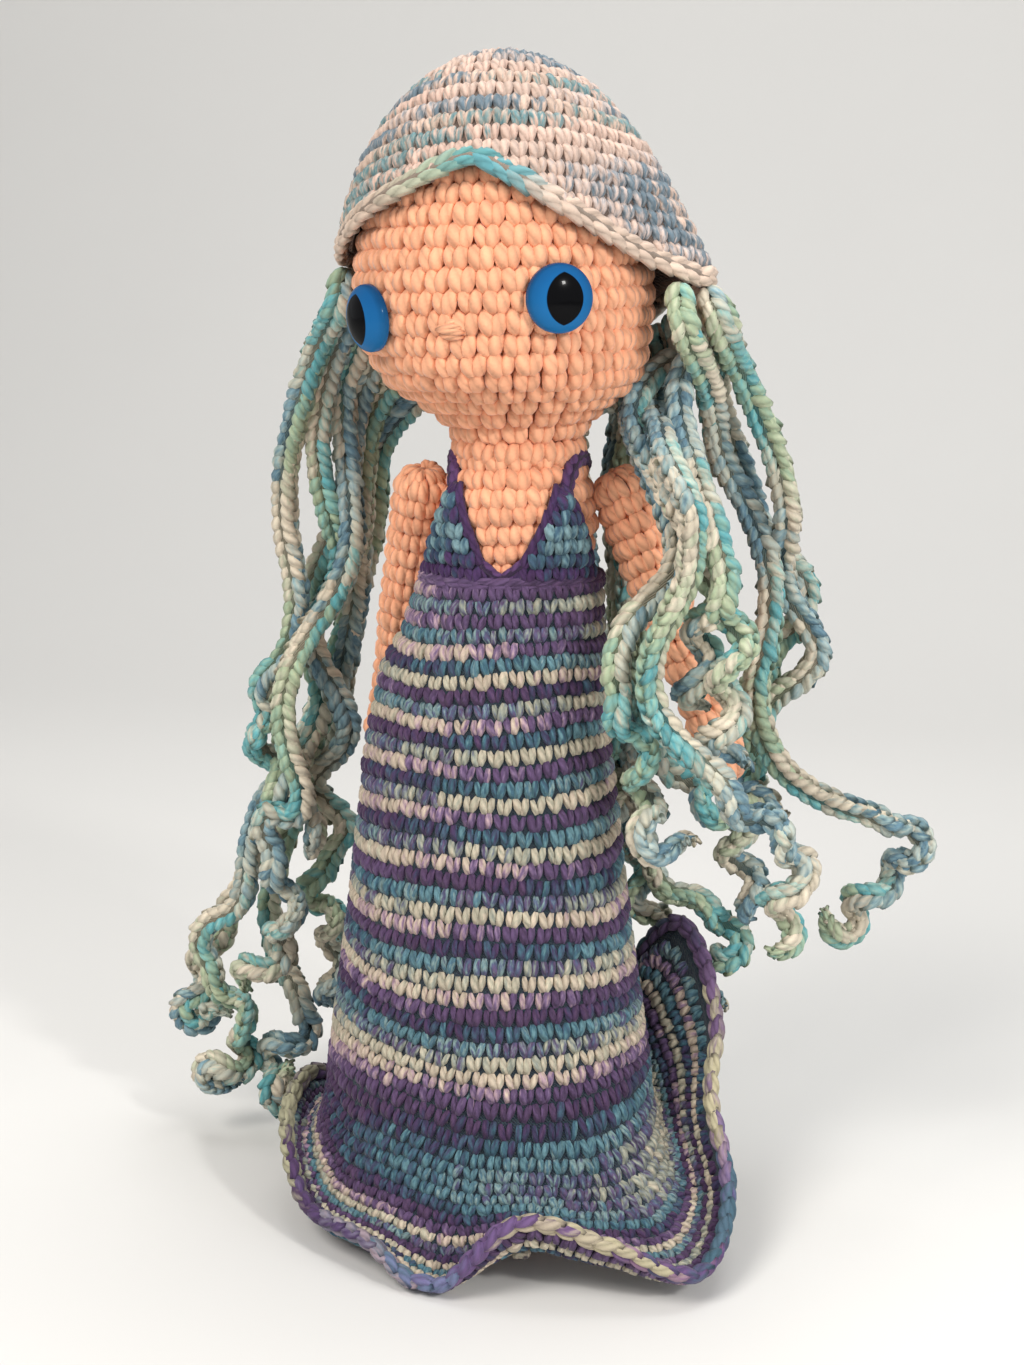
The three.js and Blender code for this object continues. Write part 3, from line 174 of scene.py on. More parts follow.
def plain_material(name, color, roughness):
    """A matt surface with a faint unevenness in its colour: color * (0.97 + 0.03 noise)."""
    material, tree, shader = new_material(name, {"Roughness": roughness})
    place = add_node(tree, "TexCoord")
    noise = add_node(tree, "TexNoise", {"Vector": place.outputs["Object"], "Scale": 6})
    ramp = add_node(tree, "ValToRGB", {"Fac": noise.outputs["Fac"]})
    for element, share in zip(ramp.color_ramp.elements, (0.97, 1.0)):
        element.color = (*[channel * share for channel in color], 1)
    tree.links.new(ramp.outputs["Color"], shader.inputs["Base Color"])
    return material


floor_rows = np.concatenate([np.linspace(-1.2, 0.55, 8), np.linspace(0.6, 1.3, 16), np.linspace(1.4, 2.6, 6)])
along, across = np.meshgrid(floor_rows, np.linspace(-1.8, 1.8, 12), indexing="ij")
floor = link("floor", grid_mesh("floor", backdrop_point(along, across)),
             plain_material("floor_paper", (0.76, 0.75, 0.73), 0.9))

lit_middle = Vector((0, 0, 0.15))
for name, spot, size, power, warmth in [
    ("key", (-0.42, -0.7, 0.95), 0.5, 9.6, (1.0, 0.965, 0.92)),
    ("fill", (0.8, -0.5, 0.45), 0.7, 2.6, (0.95, 0.97, 1.0)),
    ("top", (0.1, 0.15, 1.05), 0.6, 4.4, (1.0, 1.0, 1.0)),
    ("eye_light", (0.66, -0.56, 0.62), 0.1, 3.6, (1.0, 0.98, 0.95)),
]:
    light_data = bpy.data.lights.new(name, "AREA")
    light_data.size = size
    light_data.energy = power
    light_data.color = warmth
    light = bpy.data.objects.new(name, light_data)
    bpy.context.collection.objects.link(light)
    light.location = spot
    light.visible_glossy = name == "eye_light"
    light.rotation_euler = (Vector(spot) - lit_middle).to_track_quat("Z", "Y").to_euler()

world = bpy.data.worlds.new("world")
bpy.context.scene.world = world
world.use_nodes = True
sky = world.node_tree.nodes["Background"]
sky.inputs["Color"].default_value = (0.86, 0.88, 0.9, 1)
rays = add_node(world.node_tree, "LightPath")
seen = add_node(world.node_tree, "Math", {0: rays.outputs["Is Camera Ray"], 1: rays.outputs["Is Glossy Ray"]},
                operation="MAXIMUM")
strength = add_node(world.node_tree, "MapRange", {"Value": seen.outputs["Value"], "To Min": 0.37,
                                                  "To Max": 0.78})
world.node_tree.links.new(strength.outputs["Result"], sky.inputs["Strength"])
bpy.context.scene.view_settings.view_transform = "Standard"


# Head: a stuffed round of peach crochet that narrows to its neck, worked in one spiral of plump stitches.
# A stitch is two short legs of yarn that spring from one hole and spread upwards, tucked in at both ends.
# Its profile is the CAD's, and the part under the wig cap is left smooth.
def yarn_group():
    """The look of the yarn: three plies that wind round each leg, fine fibres as noise, and painted shade by
    depth.
    Height = 0.6 |sin(pi (3 v + 1.7 u))| + 0.4 noise; colour = shade(depth) * (0.72 + 0.44 height) * tint,
    where low depth mixes towards the painted shade colour and the height term paints shade into the ply
    grooves."""
    group = bpy.data.node_groups.new("yarn_look", "ShaderNodeTree")
    for name, way, kind in [("Color", "INPUT", "Color"), ("PaintedShade", "INPUT", "Color"),
                            ("Color", "OUTPUT", "Color"), ("Normal", "OUTPUT", "Vector")]:
        group.interface.new_socket(name, in_out=way, socket_type=f"NodeSocket{kind}")
    entry, result = group.nodes.new("NodeGroupInput"), group.nodes.new("NodeGroupOutput")
    uv = add_node(group, "UVMap")
    wind = add_node(group, "VectorMath", {0: uv.outputs["UV"], 1: (1.7 * math.pi, 3 * math.pi, 0)},
                    operation="DOT_PRODUCT")
    turn = add_node(group, "Math", {0: wind.outputs["Value"]}, operation="SINE")
    ply = add_node(group, "Math", {0: turn.outputs["Value"]}, operation="ABSOLUTE")
    place = add_node(group, "TexCoord")
    fibre = add_node(group, "TexNoise", {"Vector": place.outputs["Object"], "Scale": 1500, "Detail": 3})
    height = add_node(group, "Mix", {"Factor": 0.4, "A": ply.outputs["Value"], "B": fibre.outputs["Fac"]})
    bump = add_node(group, "Bump", {"Height": height.outputs["Result"], "Strength": 0.85,
                                    "Distance": 0.5 * MM})
    # Painted shade: where depth is low, the colour mixes towards the painted shade colour.
    depth = add_node(group, "Attribute", attribute_name="depth")
    shade = add_node(group, "MapRange", {"Value": depth.outputs["Fac"], "From Min": 0.1, "From Max": 0.85},
                     interpolation_type="SMOOTHSTEP")
    blend = add_node(group, "Mix", {"Factor": shade.outputs["Result"], "A": entry.outputs["PaintedShade"],
                                    "B": entry.outputs["Color"]}, data_type="RGBA")
    # Painted shade in the grooves between the plies: the colour is scaled 0.72 to 1.16 by ply height.
    ply_groove_shade = add_node(group, "MapRange", {"Value": height.outputs["Result"], "To Min": 0.72, "To Max": 1.16})
    tint = add_node(group, "Attribute", attribute_name="tint")
    gain = add_node(group, "Math", {0: ply_groove_shade.outputs["Result"], 1: tint.outputs["Fac"]}, operation="MULTIPLY")
    color = add_node(group, "VectorMath", {"Vector": blend.outputs["Result"], "Scale": gain.outputs["Value"]},
                     operation="SCALE")
    group.links.new(color.outputs["Vector"], result.inputs["Color"])
    group.links.new(bump.outputs["Normal"], result.inputs["Normal"])
    return group


def srgb(code):
    """Linear red, green, blue and alpha of a six-digit hex colour."""
    channels = [int(code[i:i + 2], 16) / 255 for i in (0, 2, 4)]
    return (*[c / 12.92 if c < 0.04045 else ((c + 0.055) / 1.055) ** 2.4 for c in channels], 1)


def ramp_color(tree, value, stops):
    """The colour read off a ramp of stops, (place, hex colour), at a value."""
    ramp = add_node(tree, "ValToRGB", {"Fac": value})
    elements = ramp.color_ramp.elements
    while len(elements) < len(stops):
        elements.new(0.5)
    for element, (place, code) in zip(elements, stops):
        element.position = place
        element.color = srgb(code)
    return ramp.outputs["Color"]


yarn_look = yarn_group()


def yarn_material(name, stops, deep, run=1.0, fleck=0.0, sheen=0.25):
    """Yarn whose colour goes through stops, (place, hex colour), once every run stitches of its length.
    Place = fract(yarn / run + fleck * noise), the noise drawn out along each leg; deep is the painted shade
    between the stitches, as a share of the yarn's colour."""
    material, tree, shader = new_material(name, {"Roughness": 0.82, "Specular IOR Level": 0.25,
                                                 "Sheen Weight": sheen, "Sheen Roughness": 0.45})
    yarn = add_node(tree, "Attribute", attribute_name="yarn")
    uv = add_node(tree, "UVMap")
    which = add_node(tree, "CombineXYZ", {"Z": yarn.outputs["Fac"]})
    streak = add_node(tree, "VectorMath", {0: uv.outputs["UV"], 1: (1.3, 4.5, 0), 2: which.outputs["Vector"]},
                      operation="MULTIPLY_ADD")
    noise = add_node(tree, "TexNoise", {"Vector": streak.outputs["Vector"], "Scale": 1.6, "Detail": 3})
    share = add_node(tree, "Math", {0: yarn.outputs["Fac"], 1: 1 / run}, operation="MULTIPLY")
    offset = add_node(tree, "Math", {0: noise.outputs["Fac"], 1: fleck, 2: share.outputs["Value"]},
                      operation="MULTIPLY_ADD")
    place = add_node(tree, "Math", {0: offset.outputs["Value"]}, operation="FRACT")
    color = ramp_color(tree, place.outputs["Value"], stops)
    # Painted shade colour: the yarn's colour multiplied by deep.
    painted_shade_color = add_node(tree, "Mix", {"Factor": 1, "A": color, "B": srgb(deep)}, data_type="RGBA",
                      blend_type="MULTIPLY")
    look = add_node(tree, "Group", {"Color": color, "PaintedShade": painted_shade_color.outputs["Result"]}, node_tree=yarn_look)
    tree.links.new(look.outputs["Color"], shader.inputs["Base Color"])
    tree.links.new(look.outputs["Normal"], shader.inputs["Normal"])
    return material


def unit(vectors):
    """The vectors at length 1, or 0 where they have no length."""
    return vectors / np.maximum(np.linalg.norm(vectors, axis=-1, keepdims=True), 1e-12)


def leg_mesh(name, stitches, thick, rings=7, sides=6, seed=1, tuck=1.25, near=0.06, far=0.32,
             slim=0.55, wild=1.0, jitter=0.2):
    """Two legs for each stitch. stitches has centre, across, up, out (n, 3), width, height and yarn (n).
    A leg's middle line, with t from 0 to 1: across = side * width * (near + (far - near) t^0.85),
    up = height * (1.25 t - 0.64), out = -r * (0.55 + tuck * (1 - sin(pi t)^0.8)), where r = thick * width.
    Its radius is r * (slim + (1 - slim) sin(pi t)). Legs stray by wild and their yarn by jitter."""
    rng = np.random.default_rng(seed)
    count = len(stitches["centre"])
    side = np.tile([-1.0, 1.0], count)
    pick = np.repeat(np.arange(count), 2)
    legs = len(pick)
    centre, across, up, out = (stitches[key][pick][:, None] for key in ("centre", "across", "up", "out"))
    width, height = (stitches[key][pick][:, None] for key in ("width", "height"))
    t = np.linspace(0, 1, rings)[None]
    hump = np.sin(np.pi * t) ** 0.8
    full = thick * width
    radius = full * (1 + rng.normal(0, 0.06 * wild, (legs, 1))) * (slim + (1 - slim) * np.sin(np.pi * t))
    lean = rng.normal(0, 0.07 * wild, (legs, 1))
    aside = side[:, None] * width * (near + (far - near) * t ** 0.85) + lean * width * (t - 0.5)
    above = height * (1.25 * t - 0.64) + rng.normal(0, 0.03 * wild, (legs, 1)) * height
    lifted = -full * (0.55 + tuck * (1 - hump)) + rng.normal(0, 0.06, (legs, 1)) * full
    line = centre + across * aside[..., None] + up * above[..., None] + out * lifted[..., None]
    tangent = unit(np.gradient(line, axis=1))
    normal = unit(out - tangent * (out * tangent).sum(-1, keepdims=True))
    binormal = np.cross(tangent, normal)
    turn = (np.arange(sides) / sides + 0.5) * 2 * np.pi
    skin = (line[:, :, None]
            + normal[:, :, None] * (np.cos(turn)[:, None] * radius[:, :, None, None])
            + binormal[:, :, None] * (np.sin(turn)[:, None] * radius[:, :, None, None]))
    # Painted shade: depth falls where a leg sinks below its stitch and on the side turned inwards (0.12 cos).
    depth = np.clip(1 + 0.62 * (lifted + radius * 0.6) / full, 0, 1)[:, :, None] + 0.12 * np.cos(turn)
    points = np.concatenate([skin.reshape(legs, -1, 3), line[:, [0, -1]]], 1).reshape(-1, 3)
    points[:, 2] = np.maximum(points[:, 2], 0.2 * MM)

    per_leg = rings * sides + 2
    ring, spot = np.meshgrid(np.arange(rings - 1), np.arange(sides), indexing="ij")
    after = (spot + 1) % sides
    quad = np.stack([ring * sides + spot, ring * sides + after,
                     (ring + 1) * sides + after, (ring + 1) * sides + spot], -1).reshape(-1, 4)
    here, beside, top = spot[0], after[0], (rings - 1) * sides
    tips = np.concatenate([np.stack([beside, here, np.full(sides, per_leg - 2)], -1),
                           np.stack([top + here, top + beside, np.full(sides, per_leg - 1)], -1)])
    base = np.arange(legs)[:, None, None] * per_leg
    mesh = bpy.data.meshes.new(name)
    fill_mesh(mesh, points, (quad[None] + base).reshape(-1, 4), (tips[None] + base).reshape(-1, 3))

    u = np.stack([ring, ring, ring + 1, ring + 1], -1).reshape(-1, 4) / (rings - 1)
    v = np.stack([spot, spot + 1, spot + 1, spot], -1).reshape(-1, 4) / sides
    quad_uv = np.stack([u, v], -1)[None] + rng.random((legs, 1, 1, 1)) * (0.3, 0)
    tip_uv = np.zeros((legs, 2 * sides, 3, 2))
    tip_uv[:, sides:, :, 0] = 1
    uv = np.concatenate([quad_uv.ravel(), tip_uv.ravel()])
    mesh.uv_layers.new(name="UVMap").data.foreach_set("uv", uv)
    spread = stitches.get("spread", np.full(count, 0.2))[pick]
    # The tip points of each leg take depth 0, the full painted shade.
    values = {
        "depth": np.concatenate([depth.reshape(legs, -1), np.zeros((legs, 2))], 1).ravel(),
        "yarn": np.repeat(stitches["yarn"][pick] + side * spread + rng.normal(0, jitter, legs), per_leg),
        "tint": np.repeat(1 + rng.normal(0, 0.045 * wild, legs), per_leg),
    }
    for key, value in values.items():
        mesh.attributes.new(key, "FLOAT", "POINT").data.foreach_set("value", value)
    return mesh


def even_look(mesh, depth=0.0, tint=1.0, yarn=0.0):
    """Gives a smooth mesh the same attributes as the stitches, even all over, and a UV map if it has none."""
    for key, value in (("depth", depth), ("yarn", yarn), ("tint", tint)):
        layer = mesh.attributes.new(key, "FLOAT", "POINT")
        layer.data.foreach_set("value", np.full(len(mesh.vertices), value, float))
    if not mesh.uv_layers:
        mesh.uv_layers.new(name="UVMap")


def surface_frames(surface, turns, levels, grow=1e-3):
    """Places on surface(turn, level) and their directions by small steps: across along turn, up along level
    and out square to both, then how far a unit of turn and of level go."""
    centre = surface(turns, levels)
    wide = (surface(turns + grow, levels) - surface(turns - grow, levels)) / (2 * grow)
    tall = (surface(turns, levels + grow) - surface(turns, levels - grow)) / (2 * grow)
    across = unit(wide)
    up = unit(tall - across * (tall * across).sum(-1, keepdims=True))
    return centre, across, up, np.cross(across, up), wide, tall


def path_length(path):
    """The length of a path from its start to each of its points."""
    return np.concatenate([[0], np.cumsum(np.linalg.norm(np.diff(path, axis=0), axis=1))])


def part_of(stitches, stays):
    """The stitches for which stays is true."""
    return {key: value[stays] for key, value in stitches.items()}


def rounds(surface, levels, pitch, lean=0.3, keep=None, yarn_start=0.0):
    """One spiral of stitches up a closed surface(turn, level) through the levels, from the back.
    A round has perimeter / pitch + lean of them at even lengths; keep(centre) says which stay."""
    keys = ("turn", "level", "width", "rise", "yarn")
    rows = {key: [] for key in keys}
    worked, start = yarn_start, 0.0
    around = np.linspace(np.pi, 3 * np.pi, 97)
    for low, high in zip(levels[:-1], levels[1:]):
        length = path_length(surface(around, np.full(len(around), (low + high) / 2)))
        step = 1 / (max(5, round(length[-1] / pitch)) + lean)
        share = np.arange(start, 1, step)
        start = share[-1] + step - 1
        rows["turn"].append(np.interp(share * length[-1], length, around))
        rows["level"].append(low + (high - low) * (share + 0.5))
        rows["width"].append(np.full(len(share), max(step * length[-1], pitch * 0.75)))
        rows["rise"].append(np.full(len(share), high - low))
        rows["yarn"].append(worked + np.arange(len(share)))
        worked += len(share)
    turn, level, width, rise, yarn = (np.concatenate(rows[key]) for key in keys)
    centre, across, up, out, _, tall = surface_frames(surface, turn, level)
    height = np.minimum(np.linalg.norm(tall, axis=-1) * rise, width * 1.5)
    stays = np.linalg.norm(out, axis=-1) > 0.5
    if keep is not None:
        stays &= keep(centre)
    return part_of({"centre": centre, "across": across, "up": up, "out": out, "yarn": yarn, "width": width,
                    "height": height}, stays)


def ease(x):
    """Cubic ease: 3 x^2 - 2 x^3, with x held to 0 to 1."""
    x = np.clip(x, 0, 1)
    return x * x * (3 - 2 * x)


def spline(points, samples):
    """A uniform Catmull-Rom curve through the points, its ends doubled: a cubic in the share w of each piece,
    with slopes (next - last) / 2 at its points."""
    points = np.asarray(points, float)
    t = np.linspace(0, len(points) - 1, samples)
    i = np.minimum(t.astype(int), len(points) - 2)
    w = (t - i)[:, None]
    p0, p1, p2, p3 = (points[np.clip(i + k, 0, len(points) - 1)] for k in (-1, 0, 1, 2))
    a, b = (p2 - p0) / 2, (p3 - p1) / 2
    return (2 * p1 - 2 * p2 + a + b) * w ** 3 + (-3 * p1 + 3 * p2 - 2 * a - b) * w ** 2 + a * w + p1


class Profile:
    """A smooth profile of radius over height, read by its arc length or by its height, with normals."""

    def __init__(self, pairs, samples=600):
        line = spline(pairs, samples)
        self.radius, self.height = np.maximum(line[:, 0], 0), line[:, 1]
        slope = unit(np.gradient(line, axis=0))
        self.normal = np.stack([slope[:, 1], -slope[:, 0]], -1)
        self.length = path_length(line)

    def along(self, s):
        """Radius, height and the outward normal's two parts at an arc length."""
        return [np.interp(s, self.length, row) for row in (self.radius, self.height, *self.normal.T)]

    def arc(self, height):
        """The arc length at a height."""
        return np.interp(height, self.height, self.length)


def lifted_skin(surface, turns, levels):
    """A closed grid of points on surface(turn, level)."""
    level, turn = np.meshgrid(levels, np.linspace(0, 2 * np.pi, turns, endpoint=False), indexing="ij")
    return surface(turn, level)


def under_skin(name, surface, sink, turns, levels, depth):
    """A smooth closed mesh that lies sink below surface(turn, level, lift), coloured with painted shade by
    depth.
    """
    points = lifted_skin(lambda turn, level: surface(turn, level, -sink), turns, levels)
    mesh = grid_mesh(name, points, ring=True)
    even_look(mesh, depth=depth)
    return mesh


def joined(name, material, *meshes):
    """One piece of several meshes, with their attributes and UV maps, and its material."""
    pieces = [link(f"{name}_{i}", mesh) for i, mesh in enumerate(meshes)]
    with bpy.context.temp_override(active_object=pieces[0], selected_editable_objects=pieces):
        bpy.ops.object.join()
    piece = pieces[0]
    piece.name = name
    piece.data.name = name
    piece.data.materials.append(material)
    return piece


neck_radius, head_radius, head_seam, head_tall = 14.1 * MM, 34.3 * MM, 190 * MM, 86 * MM
head_row, head_pitch = 4.75 * MM, 6.0 * MM
head_shares = [(0.081, 0.5), (0.134, 0.65), (0.186, 0.83), (0.267, 0.945), (0.407, 1), (0.535, 0.975),
               (0.663, 0.9), (0.791, 0.755), (0.9, 0.54), (0.975, 0.26), (1, 0)]
head_profile = Profile([(neck_radius, 186 * MM), (neck_radius, 192 * MM)] + [
    (max(head_radius * wide, neck_radius if rise < 0.1 else 0), head_seam + head_tall * rise)
    for rise, wide in head_shares])
head_top = head_profile.length[-1]


def head_lean(height):
    """The head's middle stands 3.6 mm to one side of the neck, eased in over its lower 0.4."""
    return axis_x - 3.6 * MM * ease((height - head_seam) / (head_tall * 0.4))


def head_surface(turn, s, lift=0.0):
    """A point at a turn from straight ahead and an arc length up the profile, lifted off the skin."""
    radius, height, nr, nz = head_profile.along(s)
    reach = radius + lift * nr
    return np.stack([head_lean(height) + np.sin(turn) * reach, axis_y - np.cos(turn) * reach,
                     height + lift * nz], -1)


def head_turn_of(points):
    """The turn from straight ahead of points round the head."""
    return np.arctan2(points[..., 0] - head_lean(points[..., 2]), -(points[..., 1] - axis_y))


def rim_height(turn):
    """Height of the wig cap's rim: 255 mm in front, 233 at 75 degrees and 211 behind, and 2.5 lower on the
    doll's left."""
    degrees = np.hypot((np.degrees(turn) + 180) % 360 - 180, 7) - 7
    side = 255 + (233 - 255) * np.minimum(degrees / 75, 1)
    return (side + (211 - side) * ease((degrees - 75) / 105) - 2.5 * np.sin(turn)) * MM


def below_cap(points):
    """True for points that show below the cap's rim, and up to 5 mm under it."""
    return points[:, 2] < rim_height(head_turn_of(points)) + 5 * MM


skin_yarn = yarn_material("skin_yarn", [(0.0, "e6a480"), (0.5, "edad88"), (1.0, "e6a480")], "cf9f7e",
                          run=37, fleck=0.6)
plump = dict(rings=8, sides=7, near=0.09, far=0.29)
head_levels = np.arange(head_profile.arc(190.2 * MM), head_top - 3 * MM, head_row)
head_stitches = rounds(head_surface, head_levels, head_pitch, lean=0.3, keep=below_cap)
# The smooth mesh under the head's stitches shows painted shade in the gaps (depth 0.12).
head = joined("head_crochet", skin_yarn,
              under_skin("head_under", head_surface, 1.9 * MM, 96, np.linspace(0, head_top, 90), depth=0.12),
              leg_mesh("head_legs", head_stitches, 0.31, seed=3, **plump))
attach(head, "head")
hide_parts("head")


# Nose: a few short stitches over one another that make a small bump between and below the eyes.
# They are sewn with the skin's yarn, straight through the face.
nose_low, nose_high = (np.array(corner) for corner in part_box("nose"))
nose_middle = (nose_low + nose_high) / 2
nose_turn = math.radians(-9.4)
nose_out = np.array([math.sin(nose_turn), -math.cos(nose_turn), 0])
nose_across = np.array([-nose_out[1], nose_out[0], 0])
nose_rows, nose_lifts = np.array([[1.1, 0.0, -1.1], [-0.5, 0.1, -0.6]]) * MM
nose_stitches = {
    "centre": nose_middle + nose_rows[:, None] * (0, 0, 1) + nose_out * nose_lifts[:, None],
    "across": np.tile([0.0, 0.0, -1.0], (3, 1)),
    "up": np.tile(nose_across, (3, 1)),
    "out": np.tile(nose_out, (3, 1)),
    "width": np.full(3, 2.6 * MM),
    "height": np.array([4.4, 5.2, 4.2]) * MM,
    "yarn": np.array([3.0, 9.0, 15.0]),
}
nose = link("nose_stitches", leg_mesh("nose_stitches", nose_stitches, 0.36, rings=9, sides=8, seed=8,
                                      tuck=1.1, near=0.04, far=0.2), skin_yarn)
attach(nose, "head")
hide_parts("nose")


# Eyes: moulded domes with a blue ring painted under the clear plastic and a lens-shaped black pupil.
# Each has a flat back on the face, a short rim, and a stem that goes through the crochet.
def eye_material():
    """Clear-coated plastic coloured by where a point lies on the eye, in millimetres from its middle.
    Pupil where it is inside both circles of 5.9 mm about (-1.7, 0) and (1.7, 0); ring lighter inwards, and
    lighter low with painted light, as if lit through the dome."""
    material, tree, shader = new_material("eye_plastic", {"Roughness": 0.2, "Specular IOR Level": 0.03,
                                                          "Coat Weight": 0.1, "Coat Roughness": 0.03})
    uv = add_node(tree, "UVMap")
    place = add_node(tree, "Mapping", {"Vector": uv.outputs["UV"], "Location": (-10, -10, 0),
                                       "Scale": (20, 20, 1)}).outputs["Vector"]
    left, right = (add_node(tree, "VectorMath", {0: place, 1: (x, 0, 0)}, operation="DISTANCE")
                   for x in (-1.7, 1.7))
    far = add_node(tree, "Math", {0: left.outputs["Value"], 1: right.outputs["Value"]}, operation="MAXIMUM")
    pupil = add_node(tree, "MapRange", {"Value": far.outputs["Value"], "From Min": 5.82, "From Max": 5.98})
    reach = add_node(tree, "VectorMath", {0: place}, operation="LENGTH")
    share = add_node(tree, "Math", {0: reach.outputs["Value"], 1: 1 / 8}, operation="MULTIPLY")
    ring = ramp_color(tree, share.outputs["Value"], [(0.45, "1a609a"), (0.86, "165184"), (0.99, "0d3152")])
    parts = add_node(tree, "SeparateXYZ", {"Vector": place})
    # Painted light: the ring turns to a lighter blue towards the bottom, by up to 0.6.
    low = add_node(tree, "MapRange", {"Value": parts.outputs["Y"], "From Min": 4.0, "From Max": -7.0})
    light = add_node(tree, "Math", {0: low.outputs["Result"], 1: 0.6}, operation="MULTIPLY")
    lit_ring = add_node(tree, "Mix", {"Factor": light.outputs["Value"], "A": ring, "B": srgb("2678b4")},
                        data_type="RGBA")
    color = add_node(tree, "Mix", {"Factor": pupil.outputs["Result"], "A": srgb("08080a"),
                                   "B": lit_ring.outputs["Result"]}, data_type="RGBA")
    tree.links.new(color.outputs["Result"], shader.inputs["Base Color"])
    return material


def turned_mesh(name, pairs, place, along, upward, segments=72):
    """A round piece about a line: point = place + side cos(a) r + up sin(a) r + along d, for pairs (r, d).
    Its UV map is where each point lies across the line, in 20 mm squares with the line at the middle."""
    side = unit(np.cross(upward, along))
    up = np.cross(along, side)
    around = np.arange(segments) / segments * 2 * np.pi
    radius, reach = np.array(pairs).T
    points = (place + side * (radius[:, None] * np.cos(around))[..., None]
              + up * (radius[:, None] * np.sin(around))[..., None] + along * reach[:, None, None])
    mesh = grid_mesh(name, points, ring=True)
    spots = np.zeros(len(mesh.vertices) * 3)
    mesh.vertices.foreach_get("co", spots)
    flat = (spots.reshape(-1, 3) - place) @ np.stack([side, up], -1)
    corners = np.zeros(len(mesh.loops), int)
    mesh.loops.foreach_get("vertex_index", corners)
    mesh.uv_layers.new(name="UVMap").data.foreach_set("uv", (flat[corners] / (20 * MM) + 0.5).ravel())
    return mesh


eye_plastic = eye_material()
point_radius, stem_radius, back_radius, eye_radius = 0.001, 2.2, 7.2, 7.5
stem_end, eye_back, rim_start, rim_end, dome_tall = -5, 0.35, 0.6, 1.5, 3.8
eye_rows = [(point_radius, stem_end), (stem_radius, stem_end), (stem_radius, eye_back),
            (back_radius, eye_back), (eye_radius, rim_start)]
eye_rows += [(eye_radius * math.cos(a) + point_radius, rim_end + dome_tall * math.sin(a))
             for a in np.linspace(0, np.pi / 2, 18)]
for name, degrees, share in [("eye_left", 30.9, 0.42), ("eye_right", -46.3, 0.367)]:
    eye_turn = np.array(math.radians(degrees))
    seat_arc = head_profile.arc(head_seam + head_tall * share)
    seat = head_surface(eye_turn, seat_arc)
    facing = unit(head_surface(eye_turn, seat_arc, 1.0) - seat)
    dome = turned_mesh(f"{name}_dome", np.array(eye_rows) * MM, seat, facing, [0, 0, 1.0])
    eye = link(f"{name}_dome", dome, eye_plastic)
    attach(eye, "head")
    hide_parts(name)


# Fixings and stuffing that stay inside: washers behind the eyes, and white fibre in every part.
# They keep the CAD's shapes, and fibre shows in the stuffing's colour and bump.
def fibre_material(name, color, scale, roughness, strength):
    """A plain material with a fine fibre bump: height = noise(point * scale)."""
    material = plain_material(name, color, roughness)
    tree = material.node_tree
    place = add_node(tree, "TexCoord")
    noise = add_node(tree, "TexNoise", {"Vector": place.outputs["Object"], "Scale": scale, "Detail": 6,
                                        "Distortion": 1.5})
    bump = add_node(tree, "Bump", {"Height": noise.outputs["Fac"], "Strength": strength,
                                   "Distance": 0.6 * MM})
    tree.links.new(bump.outputs["Normal"], tree.nodes["Principled BSDF"].inputs["Normal"])
    return material


def finish_node(name, material):
    """Puts a material on a CAD node's own slots."""
    data = frame["nodes"][name].data
    data.materials.clear()
    data.materials.append(material)


stuffing_fibre = fibre_material("stuffing_fibre", (0.86, 0.85, 0.82), 420, 0.95, 0.8)
washer_plastic = fibre_material("washer_plastic", (0.75, 0.74, 0.7), 900, 0.45, 0.1)
for name in ["head_stuffing", "neck_wad", "torso_stuffing", "arm_stuffing_left", "arm_stuffing_right",
             "leg_stuffing_left", "leg_stuffing_right"]:
    finish_node(name, stuffing_fibre)
for name in ["eye_washer_left", "eye_washer_right"]:
    finish_node(name, washer_plastic)


# Neck seam: slanting stitches that sew the head's open end round the top of the body.
# They are of the skin's yarn and pass for one more round of the crochet.
seam_count, seam_radius, seam_height = 16, 15.3 * MM, 191.2 * MM
seam_turn = np.arange(seam_count) / seam_count * 2 * np.pi
seam_out = np.stack([np.sin(seam_turn), -np.cos(seam_turn), np.zeros(seam_count)], -1)
seam_side = np.stack([np.cos(seam_turn), np.sin(seam_turn), np.zeros(seam_count)], -1)
seam_up = np.array([0, 0, 0.97]) + seam_side * 0.24
seam_stitches = {
    "centre": np.array([axis_x, axis_y, seam_height]) + seam_out * seam_radius,
    "across": np.cross(seam_up, seam_out), "up": seam_up, "out": seam_out,
    "width": np.full(seam_count, 5.9 * MM), "height": np.full(seam_count, 4.4 * MM),
    "yarn": np.arange(seam_count) * 2.0,
}
seam = link("neck_seam", leg_mesh("neck_seam", seam_stitches, 0.3, seed=12, **plump), skin_yarn)
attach(seam, "head")
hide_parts("neck_stitches")


# Body: a flattened round of the same peach crochet, narrower at the chest than at the hips.
# Its round end goes up inside the neck, and only the chest and shoulders show above the gown.
body_rows = [(0, 104), (13.75, 104.42), (22, 110.3), (25, 125), (21.5, 146), (19.2, 160), (18, 176.6)]
neck_rows = [(16.8, 182.27)] + [(16 * math.sin(a), 182.5 + 16 * math.cos(a))
                                for a in np.radians([74, 60, 45, 30, 0])]
body_profile = Profile(np.array(body_rows + neck_rows) * MM)
body_row, body_pitch = 4.5 * MM, 5.9 * MM


def spine_x(height):
    """The hips stand 7.6 mm to one side of the neck: x = -7.6 ease((182.5 - height) / 68)."""
    return axis_x - 7.6 * MM * ease((182.5 * MM - height) / (68 * MM))


def depth_share(height):
    """How deep the body is for its width: 0.68 below the chest, eased to 1 from 160 mm to 186.91 mm."""
    return 0.68 + 0.32 * ease((height - 160 * MM) / (26.91 * MM))


